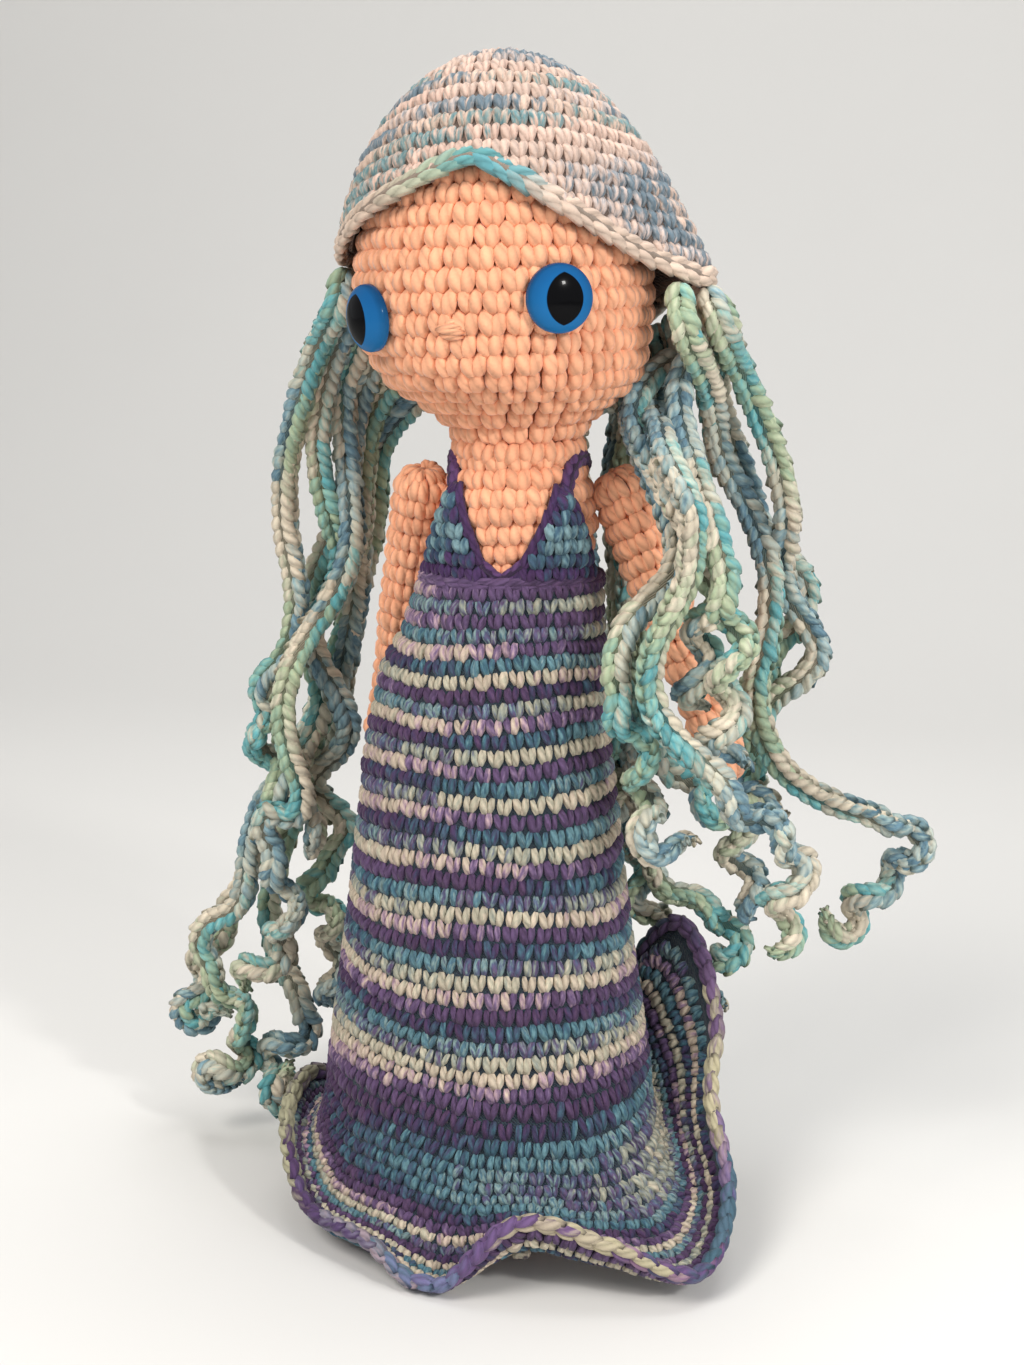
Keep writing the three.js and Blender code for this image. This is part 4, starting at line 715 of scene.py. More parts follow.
def body_surface(turn, s, lift=0.0):
    """A point at a turn from straight ahead and an arc length up the profile, lifted off the skin."""
    radius, height, nr, nz = body_profile.along(s)
    return np.stack([spine_x(height) + np.sin(turn) * (radius + lift * nr),
                     axis_y - np.cos(turn) * (radius * depth_share(height) + lift * nr),
                     height + lift * nz], -1)


body_levels = np.arange(body_profile.arc(189.6 * MM) - 9 * body_row, body_profile.arc(190 * MM), body_row)
body_stitches = rounds(body_surface, body_levels, body_pitch, lean=0.4)
body_arcs = np.linspace(0, body_profile.length[-1], 70)
body = joined("body_crochet", skin_yarn,
              under_skin("body_under", body_surface, 1.7 * MM, 64, body_arcs, depth=0.12),
              leg_mesh("body_legs", body_stitches, 0.31, seed=4, **plump))
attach(body, "torso")
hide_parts("torso")


# Arms: slim tubes of the same crochet with a round end in the shoulder and a rounded hand.
# The left arm swings out further than the right, which also goes back.
def limb_surface(profile, pivot, along):
    """A closed round about a line: point = pivot + e1 sin(turn) r + e2 cos(turn) r + along d at an arc
    length."""
    first = unit(np.cross(along, [0, -1.0, 0]))
    second = np.cross(first, along)

    def surface(turn, s, lift=0.0):
        radius, reach, nr, nz = profile.along(s)
        wide = radius + lift * nr
        return (pivot + first * (np.sin(turn) * wide)[..., None] + second * (np.cos(turn) * wide)[..., None]
                + along * (reach + lift * nz)[..., None])
    return surface


arm_row, arm_pitch, shoulder_radius = 4.5 * MM, 5.4 * MM, 6.8
arm_rows = [(shoulder_radius * math.sin(a), -shoulder_radius * math.cos(a))
            for a in np.radians([0, 31.5, 63, 90])]
arm_rows += [(6.4, 25.55), (5.36, 45.26), (5.2, 58.4), (5.5, 67.5), (3.85, 71.35), (0, 73)]
arm_profile = Profile(np.array(arm_rows) * MM)
arm_arcs = np.linspace(0, arm_profile.length[-1], 60)
arm_levels = np.arange(0.3 * MM, arm_profile.length[-1] - 0.8 * MM, arm_row)
for side, sign, spread, setback, seed in [("left", 1, 21.5, 0, 5), ("right", -1, 12.5, 15, 6)]:
    pivot = np.array([spine_x(180 * MM) + sign * 24 * MM, axis_y + 4.5 * MM, 180 * MM])
    swing = math.radians(spread)
    along = unit(np.array([sign * math.sin(swing), math.tan(math.radians(setback)), -math.cos(swing)]))
    surface = limb_surface(arm_profile, pivot, along)
    arm_stitches = rounds(surface, arm_levels, arm_pitch, lean=0.5)
    arm = joined(f"arm_crochet_{side}", skin_yarn,
                 under_skin(f"arm_under_{side}", surface, 1.5 * MM, 40, arm_arcs, depth=0.15),
                 leg_mesh(f"arm_legs_{side}", arm_stitches, 0.31, seed=seed, **plump))
    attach(arm, frame["nodes"][f"arm_{side}"]["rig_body"])
    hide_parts(f"arm_{side}")


# Legs: straight tubes under the skirt, with a foot that is a little longer than it is wide.
# They reach the floor, and a round end at the top turns in the hip.
leg_row, leg_pitch, least = 4.6 * MM, 5.8 * MM, 0.01 * MM
leg_rows = np.array([[105.9, 0.01, 0.01, 0], [104.4, 5.43, 5.43, 0], [100.2, 9.27, 9.27, 0],
                     [95.5, 10.4, 10.4, 0], [42.5, 8.96, 8.96, 0], [17, 8, 8, 0], [11, 9.5, 14.5, 0.5],
                     [1.5, 9.5, 15, 1], [0.35, 8, 13.5, 1], [0.3, 0.01, 0.01, 1]]) * MM
leg_line = spline(leg_rows, 300)
leg_line[:, 1:3] = np.maximum(leg_line[:, 1:3], least)
leg_length = path_length(leg_line[:, :2])
hip_x = spine_x(95.5 * MM)


def leg_surface(middle):
    """An upright oval: x = middle + sin(turn) across, y = axis - forward + cos(turn) deep, at height(s)."""
    def surface(turn, s, lift=0.0):
        height, across, deep, forward = (np.interp(s, leg_length, row) for row in leg_line.T)
        across, deep = np.maximum(across + lift, least), np.maximum(deep + lift, least)
        return np.stack([middle + np.sin(turn) * across, axis_y - forward + np.cos(turn) * deep,
                         np.maximum(height, 0.9 * MM - lift)], -1)
    return surface


leg_arcs = np.linspace(0, leg_length[-1], 70)
leg_levels = np.arange(3 * MM, leg_length[-1] - 0.5 * MM, leg_row)
for side, sign, seed in [("left", 1, 21), ("right", -1, 22)]:
    surface = leg_surface(hip_x + sign * 11.6 * MM)
    leg_stitches = rounds(surface, leg_levels, leg_pitch, lean=0.4)
    leg = joined(f"leg_crochet_{side}", skin_yarn,
                 under_skin(f"leg_under_{side}", surface, 1.6 * MM, 40, leg_arcs, depth=0.15),
                 leg_mesh(f"leg_legs_{side}", leg_stitches, 0.26, seed=seed))
    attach(leg, frame["nodes"][f"leg_{side}"]["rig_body"])
    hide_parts(f"leg_{side}")


# Gown: one crocheted tube of thin variegated yarn, snug at the chest, with a bell skirt and a flounce.
# The yarn goes from plum through slate, teal and cream, so each round is streaked.
# Rounds of stitches lie on a smooth wall, and a chain closes the top edge.
def closed_curve(points, count):
    """A centripetal Catmull-Rom ring through points at count even shares of it: the slope at a point is
    (b - a) / d1 - (c - a) / (d1 + d2) + (c - b) / d2, with d the square roots of the distances."""
    points = np.asarray(points, float)
    t = np.arange(count) / count * len(points)
    i = t.astype(int)
    w = (t - i)[:, None]
    p = [points[(i + k) % len(points)] for k in (-1, 0, 1, 2)]
    d = [np.sqrt(np.linalg.norm(p[k + 1] - p[k], axis=1, keepdims=True)) for k in range(3)]
    d[1] = np.where(d[1] < 1e-4, 1.0, d[1])
    d[0], d[2] = (np.where(d[k] < 1e-4, d[1], d[k]) for k in (0, 2))
    a = ((p[1] - p[0]) / d[0] - (p[2] - p[0]) / (d[0] + d[1]) + (p[2] - p[1]) / d[1]) * d[1]
    b = ((p[2] - p[1]) / d[1] - (p[3] - p[1]) / (d[1] + d[2]) + (p[3] - p[2]) / d[2]) * d[1]
    return p[1] + a * w + (-3 * p[1] + 3 * p[2] - 2 * a - b) * w ** 2 + (2 * p[1] - 2 * p[2] + a + b) * w ** 3


knee, flounce, hem_samples = 40.0, 45.0, 512
gown_top = 161 - knee
gown_row, gown_pitch = 3.35 * MM, 4.05 * MM
# Sixteen places round the hem: how far across and forward it is, how high, and how low the cloth dips there.
hem_shares = np.array([
    [-0.05, 1, 0.05, 0.04], [0.3, 1.02, 0.28, 0.07], [0.63, 0.97, 0.21, 0.04],
    [0.92, 0.83, 0.11, 0.04], [1, 0.38, 0.22, 0.07], [0.9, 0.04, 0.47, 0.24],
    [0.89, -0.2, 0.72, 0.46], [0.72, -0.52, 0.96, 0.7], [0.32, -0.78, 0.5, 0.36],
    [-0.03, -0.91, 0.1, 0.05], [-0.37, -0.85, 0.06, 0.04], [-0.63, -0.57, 0.16, 0.09],
    [-0.78, -0.17, 0.38, 0.24], [-0.8, 0.19, 0.31, 0.18], [-0.64, 0.55, 0.13, 0.06],
    [-0.33, 0.85, 0.12, 0.06]])
hem_edge = closed_curve(hem_shares[:, :3] * (60, -47, 70) + (-7.6, 0, 0), hem_samples)
hem_dip = closed_curve(hem_shares[:, 3:] * (0, 0, 70), hem_samples)[:, 2]
bell = spline([(40.5, 40), (34.875, 79.2), (30.25, 118.4), (28, 138)], 13)
chest = spline(body_rows, 200)


def gown_section(height):
    """Half width and half depth of the gown at a height in mm: the chest plus 3.2, or the bell if wider."""
    radius = np.interp(height, chest[:, 1], chest[:, 0])
    wide = np.interp(height, bell[:, 1], bell[:, 0])
    share = 28 / 40.5 + (0.68 - 28 / 40.5) * ease((height - 40) / 40)
    loose = 1 - ease((height - 138) / 10)
    snug = np.stack([radius + 3.2, radius * depth_share(height * MM) + 3.2])
    open_bell = np.stack([wide, wide * share])
    return np.maximum(snug, snug + (open_bell - snug) * loose)


def gown_surface(turn, level, lift=0.0):
    """Above the knee an upright oval at height = knee + level; below it a cubic sweep from knee to hem.
    The sweep's controls: 0.6 of the way down from the knee to the dip, then 0.75 of the way out at the
    height of the dip."""
    turn, level = np.broadcast_arrays(np.asarray(turn, float), np.asarray(level, float))
    height = knee + np.maximum(level / MM, 0)
    across, deep = gown_section(height)
    x = (spine_x(height * MM) - axis_x) / MM + np.sin(turn) * across
    body_point = np.stack([x, -np.cos(turn) * deep, height], -1)
    place = (turn / (2 * np.pi)) % 1 * hem_samples
    at = np.arange(hem_samples + 1)
    edge = np.stack([np.interp(place, at, np.append(row, row[0])) for row in hem_edge.T], -1)
    dip = np.interp(place, at, np.append(hem_dip, hem_dip[0]))
    share = np.clip(-level / (flounce * MM), 0, 1.05)[..., None]
    leave = body_point.copy()
    leave[..., 2] = knee + (np.minimum(dip, knee) - knee) * 0.6
    arrive = body_point + (edge - body_point) * 0.75
    arrive[..., 2] = dip
    rest = 1 - share
    swept = (body_point * rest ** 3 + leave * 3 * rest ** 2 * share + arrive * 3 * rest * share ** 2
             + edge * share ** 3)
    return (np.where(level[..., None] < 0, swept, body_point) * MM) + (axis_x, axis_y, 0)


def row_surface(turn, level):
    """The gown with its rows sagging: level = level - dip (1 + cos(turn - 45 degrees)) / 2, dip fading to 0
    at the hem and 95 mm over the knee, and a slow wave of 0.8 mm that fades out at the hem and at the top."""
    dip = 11 * ease(level / (50 * MM) + flounce / 50) * (1 - ease((level / MM - 15) / 80))
    wave = 0.8 * np.sin(3 * turn + level / (11 * MM)) * ease(level / (28 * MM) + flounce / 28)
    wave = wave * (1 - ease((level / MM - gown_top + 22) / 20))
    return gown_surface(turn, level - (dip * (1 + np.cos(turn - math.radians(45))) / 2 + wave) * MM)


def offset_surface(surface, lift):
    """The surface moved out by lift, square to itself."""
    def moved(turn, level):
        centre, _, _, out, _, _ = surface_frames(surface, turn, level)
        return centre + out * lift
    return moved


def reversed_surface(surface, lift):
    """The surface seen from inside: the turn runs the other way, and it lies lift below."""
    moved = offset_surface(surface, -lift)
    return lambda turn, level: moved(-turn, level)


def shell_mesh(name, outer, inner):
    """A closed wall between two grids of the same size whose last column joins the first."""
    return grid_mesh(name, np.concatenate([outer, inner[::-1], outer[:1]]), ring=True)


def along_path(path, out, pitch, width, tall=1.0, start=0.0):
    """Stitches pitch apart along a path, facing the way out gives for each of its points.
    Centre = the path at arc length (i + 0.5) pitch, up = its direction, across = up x out.
    The yarn counts the stitches from start, or is read from start where that has a value for each point."""
    length = path_length(path)
    count = max(2, int(round(length[-1] / pitch)))
    reach = (np.arange(count) + 0.5) / count * length[-1]
    slope = np.gradient(path, axis=0)
    centre, up, face = (np.stack([np.interp(reach, length, row) for row in rows.T], -1)
                        for rows in (path, slope, out))
    up = unit(up)
    face = unit(face - up * (face * up).sum(1, keepdims=True))
    yarn = start + np.arange(count, dtype=float) if np.isscalar(start) else np.interp(reach, length, start)
    return {"centre": centre, "across": np.cross(up, face), "up": up, "out": face, "yarn": yarn,
            "width": np.full(count, width), "height": np.full(count, length[-1] / count * tall)}


gown_stops = [
    (0.0, "8b9086"), (0.05, "aaa795"), (0.09, "bdb19d"), (0.13, "a8a491"), (0.17, "c3b5a1"),
    (0.22, "b7a896"), (0.26, "c0ae9e"), (0.31, "a98f98"), (0.36, "7a6583"), (0.41, "574564"),
    (0.46, "5f4a6b"), (0.51, "473751"), (0.56, "543f5b"), (0.61, "443351"), (0.66, "3c3b55"),
    (0.7, "435467"), (0.74, "3f6170"), (0.78, "62848b"), (0.82, "486778"), (0.86, "7f9592"),
    (0.9, "4f5873"), (0.94, "5a4866"), (0.97, "6f7480"), (1.0, "8b9086")]
gown_yarn = yarn_material("gown_yarn", gown_stops, "4a465e", run=62, fleck=0.3, sheen=0.08)
gown_levels = np.concatenate([np.linspace(-flounce, 0, 26), np.linspace(2, gown_top, 60)]) * MM
gown_outer, gown_inner = (lifted_skin(offset_surface(gown_surface, -sink * MM), 160, gown_levels)
                          for sink in (0.75, 1.85))
gown_cloth = link("gown_cloth", shell_mesh("gown_cloth", gown_outer, gown_inner), gown_yarn)
# The wall under the stitches shows painted shade in the gaps (depth 0.3).
even_look(gown_cloth.data, depth=0.3, yarn=44)
gown_parts = [gown_cloth]

gown_stitches = rounds(row_surface, np.arange(-flounce * MM, gown_top * MM, gown_row), gown_pitch, lean=0.35,
                       yarn_start=20)
lining_levels = np.arange(-flounce * MM - 0.65 * gown_row, 24 * MM, gown_row)
lining_stitches = rounds(reversed_surface(row_surface, 2.8 * MM), lining_levels, gown_pitch, lean=0.35,
                         yarn_start=40)
upper_half = gown_stitches["centre"][:, 2] > 78 * MM
for name, stitches, tuck, seed in [("gown_upper", part_of(gown_stitches, upper_half), 1.3, 31),
                                   ("gown_lower", part_of(gown_stitches, ~upper_half), 1.3, 32),
                                   ("gown_lining", lining_stitches, 0.7, 33)]:
    gown_parts.append(link(name, leg_mesh(name, stitches, 0.285, rings=6, sides=5, seed=seed, tuck=tuck,
                                          near=0.07, far=0.31, wild=1.7, jitter=2.2), gown_yarn))
top_turns = np.linspace(np.pi, 3 * np.pi, 121)
top_levels = np.full(121, (gown_top - 0.2) * MM)
top_spot, _, top_up, top_face, _, _ = surface_frames(gown_surface, top_turns, top_levels)
top_path = top_spot + top_up * 0.2 * MM - top_face * 0.4 * MM
top_stitches = along_path(top_path, top_face, 3.9 * MM, 4.2 * MM, 1.4, start=5)
gown_parts.append(link("gown_top_chain", leg_mesh("gown_top_chain", top_stitches, 0.28, seed=34, tuck=0.6,
                                                  near=0.0, far=0.25), gown_yarn))
for part in gown_parts:
    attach(part, "torso")
    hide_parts("gown")


# Hem edging: a chain of the same yarn worked along the flounce's edge.
# Each link is a loop drawn through the last, and shows on the outside and on the inside.
hem_stops = [(place / 16, code) for place, code in [
    (0, "536f7e"), (0.45, "73759a"), (0.9, "66507a"), (1.3, "72587f"), (1.5, "ab9d8d"), (2.5, "b6ad8f"),
    (2.95, "8b6c86"), (3.25, "5f4a72"), (3.6, "435f6d"), (4.3, "52697a"), (4.6, "635680"),
    (4.95, "957f93"), (5.2, "b3aa8b"), (5.9, "b4ac90"), (6.3, "6e5777"), (7.6, "4b3b58"),
    (8.4, "3b5863"), (9.6, "aca68a"), (11, "554063"), (12.1, "57446a"), (12.6, "9b987f"),
    (13.5, "a29e83"), (13.9, "513c5b"), (14.8, "534066"), (15.2, "807c8a"), (15.6, "a28d95"),
    (16, "536f7e")]]
hem_yarn = yarn_material("hem_yarn", hem_stops, "524d61", run=16, fleck=0.05, sheen=0.1)
hem_turns = np.linspace(0, 2 * np.pi, 301)
hem_levels = np.full(301, -flounce * MM * 0.998)
hem_spot, _, hem_upward, hem_face, _, _ = surface_frames(gown_surface, hem_turns, hem_levels)
hem_path = hem_spot - hem_upward * 1.9 * MM - hem_face * 1.3 * MM
hem_path[:, 2] = np.maximum(hem_path[:, 2], 3.1 * MM)
hem_marks = hem_turns / (2 * np.pi) * len(hem_shares)
hem_sides = []
for name, face, seed in [("outer", hem_face, 35), ("inner", -hem_face, 36)]:
    stitches = along_path(hem_path + face * 1.35 * MM, face, 4.6 * MM, 5.0 * MM, 1.25, start=hem_marks)
    hem_sides.append(leg_mesh(f"hem_{name}", stitches, 0.27, seed=seed, tuck=0.7, near=0.0, far=0.26))
hem = joined("hem_chain", hem_yarn, *hem_sides)
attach(hem, "torso")
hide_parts("hem_edging")


# Bodice cups: two three-cornered pieces of crochet on the chest, each drawn up to its strap.
# They are worked sideways in slate and teal, with plum at the foot.
# A cup is a thin cloth with six rows of stitches and a chain up each of its two sides.
cup_base, cup_tall, cup_turn, cup_half, cup_taper, cup_rows = 161.3 * MM, 20 * MM, 43.0, 34.0, 0.88, 6
cup_stops = [(0.0, "432d4e"), (0.2, "48335a"), (0.3, "36435a"), (0.42, "466474"), (0.54, "7b979c"),
             (0.66, "425f70"), (0.78, "37455c"), (0.9, "48355a"), (1.0, "432d4e")]
cup_yarn = yarn_material("cup_yarn", cup_stops, "4a5060", run=30, fleck=0.45, sheen=0.1)


def cup_surface(across, rise, side, lift):
    """A point on the chest: turn = side * 43 + across * 34 * (1 - 0.88 rise) degrees, crowned by 1.4 mm."""
    turn = np.radians(side * cup_turn + across * cup_half * (1 - cup_taper * rise))
    crown = 1.4 * MM * (1 - across ** 2) * np.sin(np.clip(rise, 0, 1) * np.pi)
    return body_surface(turn, body_profile.arc(cup_base + cup_tall * rise), lift + crown)


for name, side, seed in [("left", 1, 41), ("right", -1, 42)]:
    rise, across = np.meshgrid(np.linspace(0, 1, 16), np.linspace(-0.96, 0.96, 16), indexing="ij")
    outer, inner = (cup_surface(across, rise, side, lift * MM) for lift in (1.9, 0.7))
    middle = (outer + inner) / 2
    ends = np.concatenate([middle, middle[:, ::-1]], 1)
    walls = np.concatenate([ends[:1], np.concatenate([outer, inner[:, ::-1]], 1), ends[-1:]])
    cup = link(f"cup_cloth_{name}", grid_mesh(f"cup_cloth_{name}", walls, ring=True), cup_yarn)
    # The cloth under the cup stitches shows painted shade (depth 0.1).
    even_look(cup.data, depth=0.1, yarn=9)

    spots = []
    for k in range(cup_rows):
        rise = (k + 0.5) / cup_rows
        wide = math.radians(cup_half * (1 - cup_taper * rise)) * 2 * 19.5
        count = max(1, round(wide / 3.6))
        row = ((np.arange(count) + 0.5) / count * 2 - 1) * (0.99 if count > 1 else 0)
        spots += [(across, rise, 2 / count) for across in row[::(-1) ** k]]
    across, rise, step = np.array(spots).T
    centre, sideways, up, out, wide, _ = surface_frames(
        lambda a, b: cup_surface(a, b, side, 2.9 * MM), across, rise)
    ahead = math.radians(side * cup_turn)
    facing = np.sign(out @ [math.sin(ahead), -math.cos(ahead), 0])[:, None]
    stitches = {"centre": centre, "across": sideways * facing, "up": up, "out": out * facing,
                "width": np.linalg.norm(wide, axis=-1) * step, "height": np.full(len(rise), 3.4 * MM),
                "yarn": np.arange(len(rise)) - (4.0 if side > 0 else 6.0)}
    cup_meshes = [leg_mesh(f"cup_legs_{name}", stitches, 0.29, seed=seed, wild=1.6, jitter=2.0)]
    for edge in (-1, 1):
        rise = np.linspace(0.02, 1.06, 20)
        path = cup_surface(np.full(20, float(edge)), rise, side, 2.1 * MM)
        face = cup_surface(np.full(20, float(edge)), rise, side, 6 * MM) - path
        stitches = along_path(path, face, 3.6 * MM, 3.9 * MM, 1.4, start=-8.0)
        cup_meshes.append(leg_mesh(f"cup_edge_{name}_{edge}", stitches, 0.27, rings=6, seed=seed + 10 + edge,
                                   tuck=0.7, near=0.0, far=0.24))
    cup_stitches = joined(f"cup_stitches_{name}", cup_yarn, *cup_meshes)
    for piece in (cup, cup_stitches):
        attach(piece, "torso")
        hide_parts(f"cup_{name}")


# Straps: chains of plum yarn from the top of each cup over the shoulder to the nape.
# They lie on the skin and are sewn together behind the neck.
def tube_mesh(name, path, radius, sides=10, ring=False):
    """A round tube along a path: ring i = path(i) + n cos(a) r + b sin(a) r, where n keeps as level as it
    can. The radius is next to 0 at the two ends unless the path is a ring."""
    slope = unit(np.roll(path, -1, 0) - np.roll(path, 1, 0) if ring else np.gradient(path, axis=0))
    side = unit(np.cross(slope, [0, 0, 1.0]))
    other = np.cross(side, slope)
    a = np.arange(sides) / sides * 2 * np.pi
    wide = np.full((len(path), 1, 1), radius)
    if not ring:
        wide[[0, -1]] = 0.001 * MM
    points = path[:, None] + (side[:, None] * np.cos(a)[:, None] + other[:, None] * np.sin(a)[:, None]) * wide
    if ring:
        points = np.concatenate([points, points[:1]])
    return grid_mesh(name, points, ring=True)


def body_chain(name, turn, height, lifts, pitch, width, thick, seed, tuck, far, sink, radius):
    """A chain of plum yarn along turns and heights of the body, over a thin tube darkened by painted shade.
    It lies at the first of two lifts off the skin and faces the second; the tube lies a share sink of their
    difference lower."""
    arc = body_profile.arc(height)
    path = body_surface(turn, arc, lifts[0] * MM)
    face = body_surface(turn, arc, lifts[1] * MM) - path
    legs = leg_mesh(f"{name}_legs", along_path(path, face, pitch, width, 1.4), thick, seed=seed, tuck=tuck,
                    near=0.0, far=far)
    under = tube_mesh(f"{name}_under", path - face * sink, radius)
    # Painted shade: the tube under the chain takes depth 0.5.
    even_look(under, depth=0.5)
    return joined(name, strap_yarn, legs, under)


strap_yarn = yarn_material("strap_yarn", [(0.0, "4a3058"), (0.5, "5b4068"), (0.8, "423450"), (1.0, "4a3058")],
                           "6a6078", run=13, fleck=0.4, sheen=0.1)
share = np.linspace(0, 1, 41)
strap_rise = 12.5 * np.sin(np.minimum(share / 0.4, 1) * np.pi / 2) - 4 * ease((share - 0.45) / 0.4)
for name, side, seed in [("left", 1, 51), ("right", -1, 52)]:
    turn = np.radians(side * (cup_turn + (180 - 1.07 - cup_turn) * share ** 1.5))
    strap = body_chain(f"strap_chain_{name}", turn, (176.5 + strap_rise) * MM, (1.5, 5.5), 3.3 * MM, 4.4 * MM,
                       0.3, seed, tuck=0.9, far=0.25, sink=0.1, radius=0.9 * MM)
    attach(strap, "torso")
    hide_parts(f"strap_{name}")


# Neckline: one chain of plum yarn along the low point of the bodice, between the cups.
# It hangs in a shallow V from cup to cup.
share = np.linspace(-1, 1, 33)
neckline_height = cup_base + (0.8 + 3.4 * np.abs(share) ** 1.3) * MM
neckline = body_chain("neckline_stitches", np.radians(share * 14), neckline_height, (1.9, 6.0), 3.1 * MM,
                      3.6 * MM, 0.28, 55, tuck=0.6, far=0.24, sink=0.06, radius=0.8 * MM)
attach(neckline, "torso")
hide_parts("neckline_chain")


# Wig cap: rounds of thick variegated yarn worked outwards from the crown, which sits a little to the back.
# A flap of it flares away from the left temple, over the roots of the hair.
cap_stops = [(0.0, "cbad9e"), (0.12, "d2b6a7"), (0.2, "c4ada0"), (0.3, "d0b5a5"), (0.4, "baaca6"),
             (0.47, "7a838a"), (0.54, "627581"), (0.6, "888c8f"), (0.66, "ccb2a2"), (0.76, "c7af9f"),
             (0.82, "8f958f"), (0.88, "62898f"), (0.93, "949995"), (1.0, "cbad9e")]
cap_yarn = yarn_material("cap_yarn", cap_stops, "6f6a68", run=29.5, fleck=0.5, sheen=0.15)
cap_radius, cap_pitch, cap_rounds = 38 * MM, 4.1 * MM, 21
crown_height, head_centre = head_seam + head_tall, 233 * MM
cap_reach = cap_radius * math.radians(118)
arc_samples = np.linspace(0, head_top, 400)
arc_radius, arc_height = head_profile.along(arc_samples)[:2]
arc_angle = np.arctan2(arc_radius, arc_height - head_centre)[::-1]
crown_tilt, crown_side = math.radians(16), math.radians(20)
pole = unit(np.array([math.sin(crown_side) * math.sin(crown_tilt) * -0.3, math.sin(crown_tilt),
                      math.cos(crown_tilt)]))
pole_side = unit(np.cross([0, 1.0, 0], pole))
pole_front = np.cross(pole_side, pole)


def cap_flap(turn, height):
    """The flap stands out by 10 mm * exp(-((turn - 88) / 17)^2) * (1 - rise)^2, where rise is 0 at the rim
    and 1 on top."""
    rise = np.clip((height - rim_height(turn)) / (crown_height - rim_height(turn)), 0, 1)
    off = (np.degrees(turn) - 88 + 180) % 360 - 180
    return 10 * MM * np.exp(-(off / 17) ** 2) * (1 - rise) ** 2


def cap_point(turn, s, lift):
    """A point on the cap at a turn and an arc length up the head, lifted off the skin, with the flap."""
    height = head_profile.along(s)[1]
    return head_surface(turn, s, lift + cap_flap(turn, height))


def cap_surface(turn, level, lift=4.4 * MM):
    """Rounds about a pole tilted back: the direction at an angle from the pole, carried to the head's
    profile. Level runs up to the pole: angle = (reach - level) / 38 mm."""
    angle = (cap_reach - level) / cap_radius
    way = (pole * np.cos(angle)[..., None] + pole_side * (np.sin(angle) * np.sin(turn))[..., None]
           + pole_front * (np.sin(angle) * np.cos(turn))[..., None])
    s = np.interp(np.arccos(np.clip(way[..., 2], -1, 1)), arc_angle, arc_samples[::-1])
    return cap_point(np.arctan2(way[..., 0], -way[..., 1]), s, lift)


def above_rim(points):
    """True for points more than 1.4 mm above the cap's rim."""
    return points[:, 2] > rim_height(head_turn_of(points)) + 1.4 * MM


rise, turn = np.meshgrid(1 - (1 - np.linspace(0, 1, 40)) ** 1.6,
                         np.linspace(0, 2 * np.pi, 120, endpoint=False), indexing="ij")
cap_arc = head_profile.arc(rim_height(turn) + (crown_height - rim_height(turn)) * rise)
cap_outer, cap_inner = (cap_point(turn, cap_arc, lift * MM) for lift in (3.5, 1.2))
cap_cloth = link("cap_cloth", shell_mesh("cap_cloth", cap_outer, cap_inner), cap_yarn)
# The cloth under the cap stitches shows painted shade in the holes (depth 0.3).
even_look(cap_cloth.data, depth=0.3)
cap_levels = cap_reach - (3.1 + 3.7 * np.arange(cap_rounds)[::-1]) * MM
cap_stitches = rounds(cap_surface, cap_levels, cap_pitch, lean=0.45, keep=above_rim, yarn_start=11)
cap_crochet = link("cap_stitches", leg_mesh("cap_stitches", cap_stitches, 0.3, rings=6, seed=61, near=0.08,
                                            far=0.31, wild=1.4, jitter=1.0), cap_yarn)
for piece in (cap_cloth, cap_crochet):
    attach(piece, "head")
    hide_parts("wig_cap")


# Cap edging: a thick chain along the rim, of long loops that lie over one another.
# It is cream, with turquoise near the peak over the forehead.
edging_stops = [(0.0, "6b9d9a"), (0.02, "56959e"), (0.06, "6f9da2"), (0.1, "cab3a2"), (0.3, "cfb9a7"),
                (0.42, "81a4a4"), (0.5, "ccb6a4"), (0.62, "8999a6"), (0.7, "cdb8a6"), (0.9, "cab4a2"),
                (0.96, "a2ac95"), (1.0, "6b9d9a")]
edging_yarn = yarn_material("edging_yarn", edging_stops, "848079", run=1, fleck=0.03)
rim_turn = np.linspace(0, 2 * np.pi, 241)
rim_arc = head_profile.arc(rim_height(rim_turn) - 0.9 * MM)
rim_path = cap_point(rim_turn, rim_arc, 4.6 * MM)
rim_face = cap_point(rim_turn, rim_arc, 9 * MM) - rim_path
rim_stitches = along_path(rim_path, rim_face, 4.3 * MM, 6.0 * MM, 1.5, start=rim_turn / (2 * np.pi))
rim_stitches["spread"] = np.full(len(rim_stitches["yarn"]), 0.004)
rim_chain = leg_mesh("rim_chain", rim_stitches, 0.23, rings=8, seed=63, tuck=0.9, near=0.0, far=0.27,
                     slim=0.6, wild=1.3, jitter=0.004)
rim_under = tube_mesh("rim_under", rim_path[:-1] - rim_face[:-1] * 0.2, 1.1 * MM, ring=True)
# Painted shade: the tube under the rim chain takes depth 0.5.
even_look(rim_under, depth=0.5, yarn=0.2)
edging = joined("cap_edging_chain", edging_yarn, rim_chain, rim_under)
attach(edging, "head")
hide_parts("cap_edging")


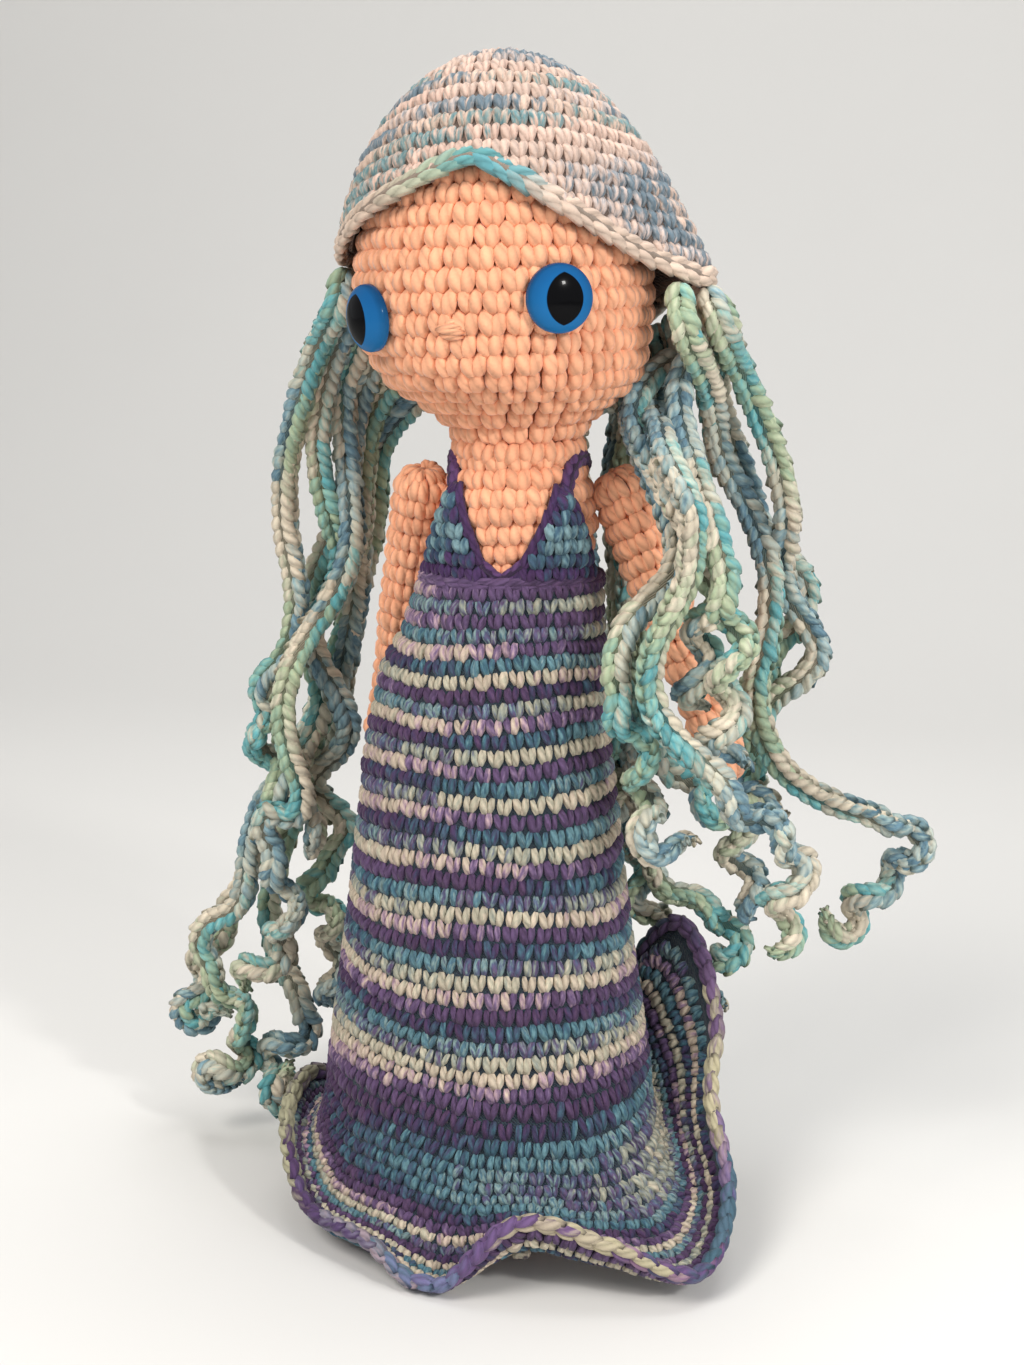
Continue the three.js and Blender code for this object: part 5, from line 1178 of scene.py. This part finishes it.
# Hair: strands that are each one crocheted cord, six millimetres wide, hung from the edging of the cap.
# They drop behind the shoulders and in front of one arm, and curl at the ends.
# A cord has four columns of stitches round a thin core, two broad ones on its faces and two on its sides.
def strand_route(node):
    """The middle line of a strand's solid: its corners in layers from the top, and the layers' middles."""
    mesh = frame["nodes"][node].data
    corners = np.zeros(len(mesh.vertices) * 3)
    mesh.vertices.foreach_get("co", corners)
    spots, same = np.unique(np.round(corners.reshape(-1, 3), 7), axis=0, return_inverse=True)
    same = same.ravel()
    ends = np.zeros(len(mesh.loops), int)
    mesh.loops.foreach_get("vertex_index", ends)
    faces = same[ends].reshape(-1, 3)
    near = np.zeros((len(spots), len(spots)), bool)
    for a, b in ((0, 1), (1, 2), (2, 0)):
        near[faces[:, a], faces[:, b]] = near[faces[:, b], faces[:, a]] = True
    tips = np.flatnonzero(near.sum(1) == 4)
    layer = np.zeros(len(spots), bool)
    layer[tips[np.argmax(spots[tips, 2])]] = True
    passed = layer.copy()
    middles = [spots[layer].mean(0)]
    while True:
        layer = near[layer].any(0) & ~passed
        if not layer.any():
            break
        passed |= layer
        middles.append(spots[layer].mean(0))
    return np.array(middles)


def even_route(points, step):
    """A smooth line through points in even steps, evened over 17 of them, and its lengths from the start."""
    line = spline(points, len(points) * 8)
    length = path_length(line)
    even = np.linspace(0, length[-1], int(length[-1] / step))
    line = np.stack([np.interp(even, length, row) for row in line.T], -1)
    longer = np.concatenate([np.repeat(line[:1], 8, 0), line, np.repeat(line[-1:], 8, 0)])
    return np.stack([np.convolve(row, np.hanning(19)[1:-1] / 9, "valid") for row in longer.T], -1), even


def cord_faces(path, first):
    """Two directions square to a path and to each other. The first turns with it as little as it can:
    each is the last less its lengthwise part."""
    slope = unit(np.gradient(path, axis=0))
    faces = [np.asarray(first, float)]
    for way in slope:
        faces.append(unit(faces[-1] - way * (faces[-1] @ way)))
    return np.array(faces[1:]), np.cross(slope, faces[1:])


def turned(facing, side, angle):
    """Two square directions turned together by an angle at each point."""
    cos, sin = np.cos(angle)[:, None], np.sin(angle)[:, None]
    return facing * cos + side * sin, side * cos - facing * sin


hair_stops = [(0.0, "c9beaa"), (0.1, "d2c6b2"), (0.17, "bdbda6"), (0.25, "a9b596"), (0.33, "93ab94"),
              (0.4, "83afa6"), (0.46, "5b9fa6"), (0.52, "86b0ab"), (0.6, "c4beab"), (0.7, "aeb8b0"),
              (0.77, "7d9aa3"), (0.83, "587788"), (0.89, "8fa6a6"), (1.0, "c9beaa")]
hair_run = 36
hair_yarn = yarn_material("hair_yarn", hair_stops, "8a8d84", run=hair_run, fleck=0.25, sheen=0.15)
hair_rng = np.random.default_rng(77)
hair_groups = ("hair_back_", "hair_front_left_", "hair_side_right_", "hair_side_left_")
hair_nodes = [name for group in hair_groups for name in sorted(frame["nodes"]) if name.startswith(group)]
neck_line, hair_pitch, curl_length, curl_pitch = 187 * MM, 3.2 * MM, 62 * MM, 16 * MM
first_facing = [0.2, -1.0, 0.1]
for number, node in enumerate(hair_nodes):
    line, even = even_route(strand_route(node), 0.5 * MM)
    left = even[-1] - even
    curl = (curl_length - left) / curl_pitch * 2 * np.pi + number
    size = 3.0 * MM * ease((curl_length - left) / (40 * MM))
    line = line + turned(*cord_faces(line, first_facing), curl)[0] * size[:, None]
    line[:, 2] = np.maximum(line[:, 2], 5 * MM)
    twist = np.convolve(np.cumsum(hair_rng.normal(0, 1, len(line))), np.ones(40) / 40, "same") * 0.035
    facing, side = turned(*cord_faces(line, first_facing), twist)
    begin = hair_rng.random() * hair_run

    columns = []
    for way, face, width, out in ((1, facing, 7.9, 2.1), (-1, -facing, 7.9, 2.1),
                                  (1, side, 4.5, 2.5), (-1, -side, 4.5, 2.5)):
        reach = out * MM * (1 - 0.6 * ease(1 - left / (5 * MM)))
        column = along_path(line + face * reach[:, None], face, hair_pitch, width * MM, 1.25)
        count = len(column["yarn"])
        column["spread"] = (column["yarn"] - count) * way
        column["yarn"] = np.full(count, begin + count)
        if width < 5:
            column["yarn"] = column["yarn"] + column["spread"]
            column["spread"] = np.full(count, 0.3)
        last = np.clip((np.arange(count) - count + 3) / 2, 0, 1)
        column["width"] = column["width"] * (1 - 0.45 * last)
        columns.append(column)

    front = columns[0]
    passed = max(8, int(np.argmax(line[:, 2] < neck_line)))
    halves = {}
    for half, route in (("upper", line[4:passed + 6:6]), ("lower", line[passed - 2:-4:8])):
        core = tube_mesh(f"core_{half}_{node}", route, 2.0 * MM, sides=8)
        # The core between the columns shows painted shade (depth 0.3).
        even_look(core, depth=0.3)
        spots = np.zeros(len(core.vertices) * 3)
        core.vertices.foreach_get("co", spots)
        nearest = np.linalg.norm(spots.reshape(-1, 1, 3) - front["centre"][None], axis=-1).argmin(1)
        core.attributes["yarn"].data.foreach_set("value", (front["yarn"] + front["spread"])[nearest])
        halves[half] = [core]
    for chosen, thick, far, seed in ((columns[:2], 0.19, 0.33, 101), (columns[2:], 0.3, 0.22, 100)):
        strand = {key: np.concatenate([column[key] for column in chosen]) for key in front}
        tops = strand["centre"][:, 2] > neck_line
        for half, stays in (("upper", tops), ("lower", ~tops)):
            halves[half].append(leg_mesh(f"{half}_{node}", part_of(strand, stays), thick, rings=6,
                                         seed=seed + 2 * number, tuck=0.9, near=0.02, far=far, slim=0.5,
                                         wild=1.5, jitter=1.6))
    upper, lower = (joined(f"{node}_{half}", hair_yarn, *halves[half]) for half in ("upper", "lower"))
    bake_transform(upper)
    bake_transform(lower)
    for piece in (upper, lower):
        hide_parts(node)
